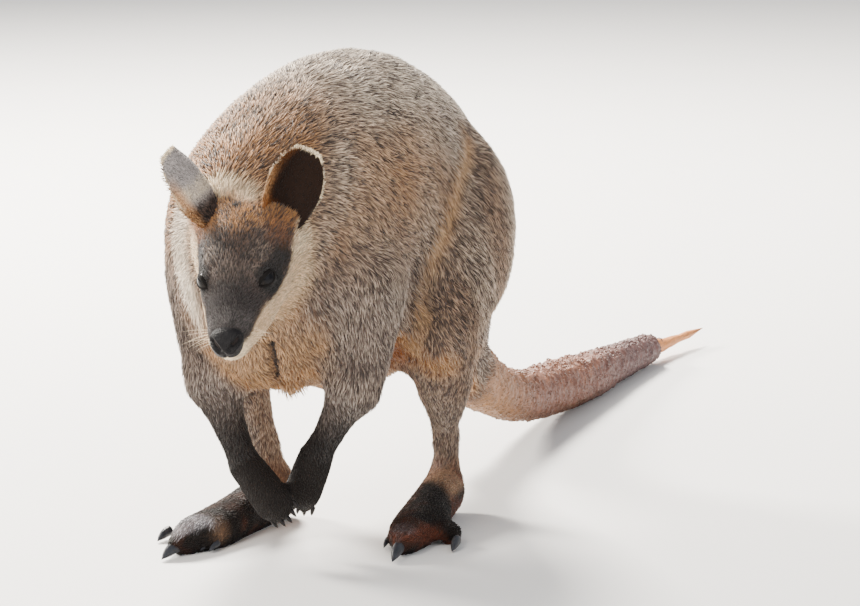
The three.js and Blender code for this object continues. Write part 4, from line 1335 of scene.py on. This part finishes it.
def eyelids(side):
    """Upper and lower lid in one ring round the eye's opening."""
    middle, out, corner, up = eye_axes(side)
    ring = bmesh.new()
    around = 56
    rows = []
    for spread, rise in LID_SECTION:
        row = []
        for i in range(around):
            t = 2 * math.pi * i / around
            x = (EYE_WIDE + spread) * math.cos(t)
            tall = (EYE_ABOVE if math.sin(t) > 0 else EYE_BELOW) + spread
            y = tall * math.sin(t) * abs(math.sin(t)) ** 0.45
            radius = EYE_RADIUS + rise
            flat = min(math.hypot(x, y), 0.995 * EYE_RADIUS * 1.35)
            angle = flat / (EYE_RADIUS * 1.12)
            way = (corner * x + up * y).normalized()
            row.append(ring.verts.new(middle + (out * math.cos(angle) + way * math.sin(angle)) * (radius * MM)))
        rows.append(row)
    for inner, outer in zip(rows[:-1], rows[1:]):
        for i in range(around):
            j = (i + 1) % around
            ring.faces.new((inner[i], inner[j], outer[j], outer[i]))
    bmesh.ops.recalc_face_normals(ring, faces=ring.faces)
    ring.normal_update()
    if ring.faces[around * 3].normal.dot(out) < 0:
        bmesh.ops.reverse_faces(ring, faces=ring.faces)
    bmesh.ops.solidify(ring, geom=ring.faces[:], thickness=0.5 * MM)
    bmesh.ops.recalc_face_normals(ring, faces=ring.faces)
    return rounded(ring, 1)


class WALLABY_OT_eyes(bpy.types.Operator):
    """Two dark glossy eyes, each with its lids"""

    bl_idname = "wallaby.eyes"
    bl_label = "Eyes and lids"

    def execute(self, context):
        ball, lid = eye_finish(), lid_finish()
        for side in SIDES:
            placed(f"eyeball_{side}", eyeball(side), ball, "eye", f"eye_{side}")
            placed(f"eyelids_{side}", eyelids(side), lid, "nose")
        return {"FINISHED"}


NOSTRIL = (5.6, 144, -6.5)


class WALLABY_OT_nose(bpy.types.Operator):
    """A pebbled nose pad with two nostrils and the cleft below it"""

    bl_idname = "wallaby.nose"
    bl_label = "Nose pad"

    def execute(self, context):
        work = merged_copy("nose")
        bmesh.ops.recalc_face_normals(work, faces=work.faces)
        mesh = rounded(work, 3)
        points, normals = points_of(mesh), normals_of(mesh)
        edges = edges_of(mesh)
        points = eased(points, edges, 12, 0.5)
        moved(mesh, points)
        local, normals = in_head(points), normals_of(mesh)
        rise = np.full(len(points), 0.9)
        for s in (1, -1):
            out, ahead, high = NOSTRIL
            line = ((s * (out - 1.6), ahead + 1, high - 1.5), (s * (out + 1.5), ahead - 1, high + 0.8),
                    (s * (out + 5), ahead - 5, high + 2.4))
            gap = from_line(local, line)
            rise -= 4.8 * np.exp(-((gap / 2.1) ** 2))
            rise += 1.0 * np.exp(-(((gap - 3.6) / 1.3) ** 2))
        rise -= 1.1 * np.exp(-((local[:, 0] / 1.0) ** 2)) * ramp(-local[:, 2], 8, 12)
        moved(mesh, points + normals * (rise * MM)[:, None])
        placed("nose_pad", mesh, nose_finish(), "nose", "nose")
        return {"FINISHED"}


def keep_point(work):
    """Keeps the farthest point sharp through the rounding."""
    crease = work.verts.layers.float.new("crease_vert")
    middle = sum((v.co for v in work.verts), Vector()) / len(work.verts)
    point = max(work.verts, key=lambda v: (v.co - middle).length)
    point[crease] = 1.0


class WALLABY_OT_claws(bpy.types.Operator):
    """Eighteen horn claws, and the dried end of the tail"""

    bl_idname = "wallaby.claws"
    bl_label = "Claws and dried tail end"

    def execute(self, context):
        horn = {"toe": claw_finish("toe_claw", paint().claw), "finger": claw_finish("finger_claw", paint().finger_claw)}
        dried = dried_finish()
        for node in sorted(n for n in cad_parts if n.startswith("claw") or n == "tail_end"):
            work = merged_copy(node)
            bmesh.ops.recalc_face_normals(work, faces=work.faces)
            keep_point(work)
            mesh = rounded(work, 2)
            points, normals = points_of(mesh), normals_of(mesh)
            tail_end = node == "tail_end"
            grow = 0.3 + (1.3 + 1.1 * mottle(points / MM, 7, 41) if tail_end else 0.0)
            points = points + normals * (np.broadcast_to(grow, len(points)) * MM)[:, None]
            points[:, 2] = np.maximum(points[:, 2], 0.1 * MM)
            moved(mesh, points)
            if tail_end:
                placed("dried_tail_end", mesh, dried, "tail_end", node)
            else:
                placed(node.replace("claw", "horn"), mesh, horn[node.split("_")[1]], "claw", node)
        return {"FINISHED"}


def bristle(work, root, way, droop, length, width, rings=6, sides=4):
    """One whisker: a thin tapering rod that bends by droop at its tip."""
    way = way.normalized()
    side = way.cross(droop).normalized() if way.cross(droop).length > 1e-6 else way.orthogonal().normalized()
    other = way.cross(side)
    rows = []
    for k in range(rings):
        t = k / rings
        centre = root + way * (length * t) + droop * (length * t * t)
        radius = width / 2 * (1 - t) + 0.02 * MM
        rows.append([
            work.verts.new(centre + (side * math.cos(a) + other * math.sin(a)) * radius)
            for a in (2 * math.pi * i / sides for i in range(sides))
        ])
    tip = work.verts.new(root + way * length + droop * length)
    for low, high in zip(rows[:-1], rows[1:]):
        for i in range(sides):
            work.faces.new((low[i], low[(i + 1) % sides], high[(i + 1) % sides], high[i]))
    for i in range(sides):
        work.faces.new((rows[-1][i], rows[-1][(i + 1) % sides], tip))
    work.faces.new(rows[0][::-1])


class WALLABY_OT_whiskers(bpy.types.Operator):
    """Whiskers on the lips"""

    bl_idname = "wallaby.whiskers"
    bl_label = "Whiskers"

    def execute(self, context):
        chance = np.random.default_rng(77)
        longest = coat_sizes().whisker
        work = bmesh.new()
        tree = BVHTree.FromPolygons(
            [v.co for v in made["ground"].mesh.vertices], [p.vertices for p in made["ground"].mesh.polygons]
        )
        for s in (1, -1):
            for row in range(3):
                for place in range(3):
                    start = head_place(s * 30, 134 - 5.5 * place - row, -9 - 3.6 * row)
                    aim = head_place(s * 6, 130 - 5.5 * place - row, -10 - 3.6 * row)
                    hit = tree.ray_cast(start, (aim - start).normalized())[0]
                    if hit is None:
                        continue
                    way = head_way(s * 1.0, -0.15 + chance.uniform(-0.2, 0.25), -0.25 + chance.uniform(-0.2, 0.2))
                    reach = longest * (0.45 + 0.14 * place) * chance.uniform(0.8, 1.1) * (0.6 if s > 0 else 1.0)
                    bristle(work, hit - way * MM, way, Vector((0, 0.05, -0.12)), reach, 0.36 * MM)
        bmesh.ops.recalc_face_normals(work, faces=work.faces)
        mesh = bpy.data.meshes.new("whiskers")
        work.to_mesh(mesh)
        work.free()
        set_colours(mesh, "hair", np.tile(np.array(paint().cream), (len(mesh.vertices), 1)))
        placed("whiskers", mesh, coat_finish("whisker", 0.4), "coat")
        return {"FINISHED"}


# ---- Stage ----

CAMERA_AZIMUTH, CAMERA_ELEVATION = 25.0, 11.0
CAMERA_DISTANCE = 3.2
CAMERA_TARGET = Vector((68.744, -258.931, 205.91)) * MM
CAMERA_LENS, CAMERA_SENSOR = 150.03, 36.0


def lamp(name, place, target, size, power, tint=(1, 1, 1)):
    light = bpy.data.lights.new(name, "AREA")
    light.size = size
    light.energy = power
    light.color = tint
    holder = bpy.data.objects.new(name, light)
    holder.location = place
    holder.rotation_euler = (Vector(target) - Vector(place)).to_track_quat("-Z", "Y").to_euler()
    bpy.context.collection.objects.link(holder)


class WALLABY_OT_stage(bpy.types.Operator):
    """Pale floor, soft studio light and the camera"""

    bl_idname = "wallaby.stage"
    bl_label = "Stage"

    def execute(self, context):
        floor = bmesh.new()
        bmesh.ops.create_grid(floor, x_segments=8, y_segments=8, size=20.0)
        mesh = bpy.data.meshes.new("studio_floor")
        floor.to_mesh(mesh)
        floor.free()
        piece = bpy.data.objects.new("studio_floor", mesh)
        bpy.context.collection.objects.link(piece)
        mesh.materials.append(floor_finish())

        azimuth, elevation = math.radians(CAMERA_AZIMUTH), math.radians(CAMERA_ELEVATION)
        look = Vector((-math.sin(azimuth) * math.cos(elevation), math.cos(azimuth) * math.cos(elevation),
                       -math.sin(elevation)))
        camera = bpy.data.cameras.new("camera")
        camera.lens = CAMERA_LENS
        camera.sensor_width = CAMERA_SENSOR
        camera.clip_end = 60.0
        holder = bpy.data.objects.new("camera", camera)
        holder.location = BODY_ORIGIN + CAMERA_TARGET - look * CAMERA_DISTANCE
        holder.rotation_euler = look.to_track_quat("-Z", "Y").to_euler()
        context.collection.objects.link(holder)
        context.scene.camera = holder

        middle = (0, -0.2, 0.22)
        lamp("key", (-0.5, -2.6, 2.6), middle, 1.4, 105, (1, 0.95, 0.88))
        lamp("back", (-1.6, 1.9, 2.5), middle, 0.9, 560, (1, 0.94, 0.86))
        lamp("rim", (-2.7, 0.1, 1.7), middle, 0.7, 260, (1, 0.94, 0.86))
        lamp("fill", (2.6, -1.6, 1.2), middle, 2.4, 30, (0.95, 0.97, 1))
        world = bpy.data.worlds.new("studio")
        context.scene.world = world
        world.use_nodes = True
        world.node_tree.nodes["Background"].inputs["Color"].default_value = (0.94, 0.96, 1, 1)
        world.node_tree.nodes["Background"].inputs["Strength"].default_value = 0.7
        return {"FINISHED"}


OPERATORS = (
    WALLABY_OT_skin, WALLABY_OT_coat, WALLABY_OT_tail, WALLABY_OT_ears, WALLABY_OT_eyes, WALLABY_OT_nose,
    WALLABY_OT_claws, WALLABY_OT_whiskers, WALLABY_OT_stage,
)


class WALLABY_PT_panel(bpy.types.Panel):
    """Pieces, sizes and colours of the wallaby"""

    bl_idname = "WALLABY_PT_panel"
    bl_label = "Wallaby"
    bl_space_type = "VIEW_3D"
    bl_region_type = "UI"
    bl_category = "Wallaby"

    def draw(self, context):
        for operator in OPERATORS:
            self.layout.operator(operator.bl_idname)
        for group in (context.scene.wallaby_coat, context.scene.wallaby_colours):
            box = self.layout.box()
            for name in type(group).__annotations__:
                box.prop(group, name)


CLASSES = (WallabyCoat, WallabyColours, *OPERATORS, WALLABY_PT_panel)


def register():
    for made_class in CLASSES:
        bpy.utils.register_class(made_class)
    bpy.types.Scene.wallaby_coat = bpy.props.PointerProperty(type=WallabyCoat)
    bpy.types.Scene.wallaby_colours = bpy.props.PointerProperty(type=WallabyColours)


def unregister():
    del bpy.types.Scene.wallaby_colours
    del bpy.types.Scene.wallaby_coat
    for made_class in reversed(CLASSES):
        bpy.utils.unregister_class(made_class)


def main():
    register()
    bpy.ops.wallaby.skin()
    bpy.ops.wallaby.coat()
    bpy.ops.wallaby.tail()
    bpy.ops.wallaby.ears()
    bpy.ops.wallaby.eyes()
    bpy.ops.wallaby.nose()
    bpy.ops.wallaby.claws()
    bpy.ops.wallaby.whiskers()
    bpy.ops.wallaby.stage()


if __name__ == "__main__":
    main()
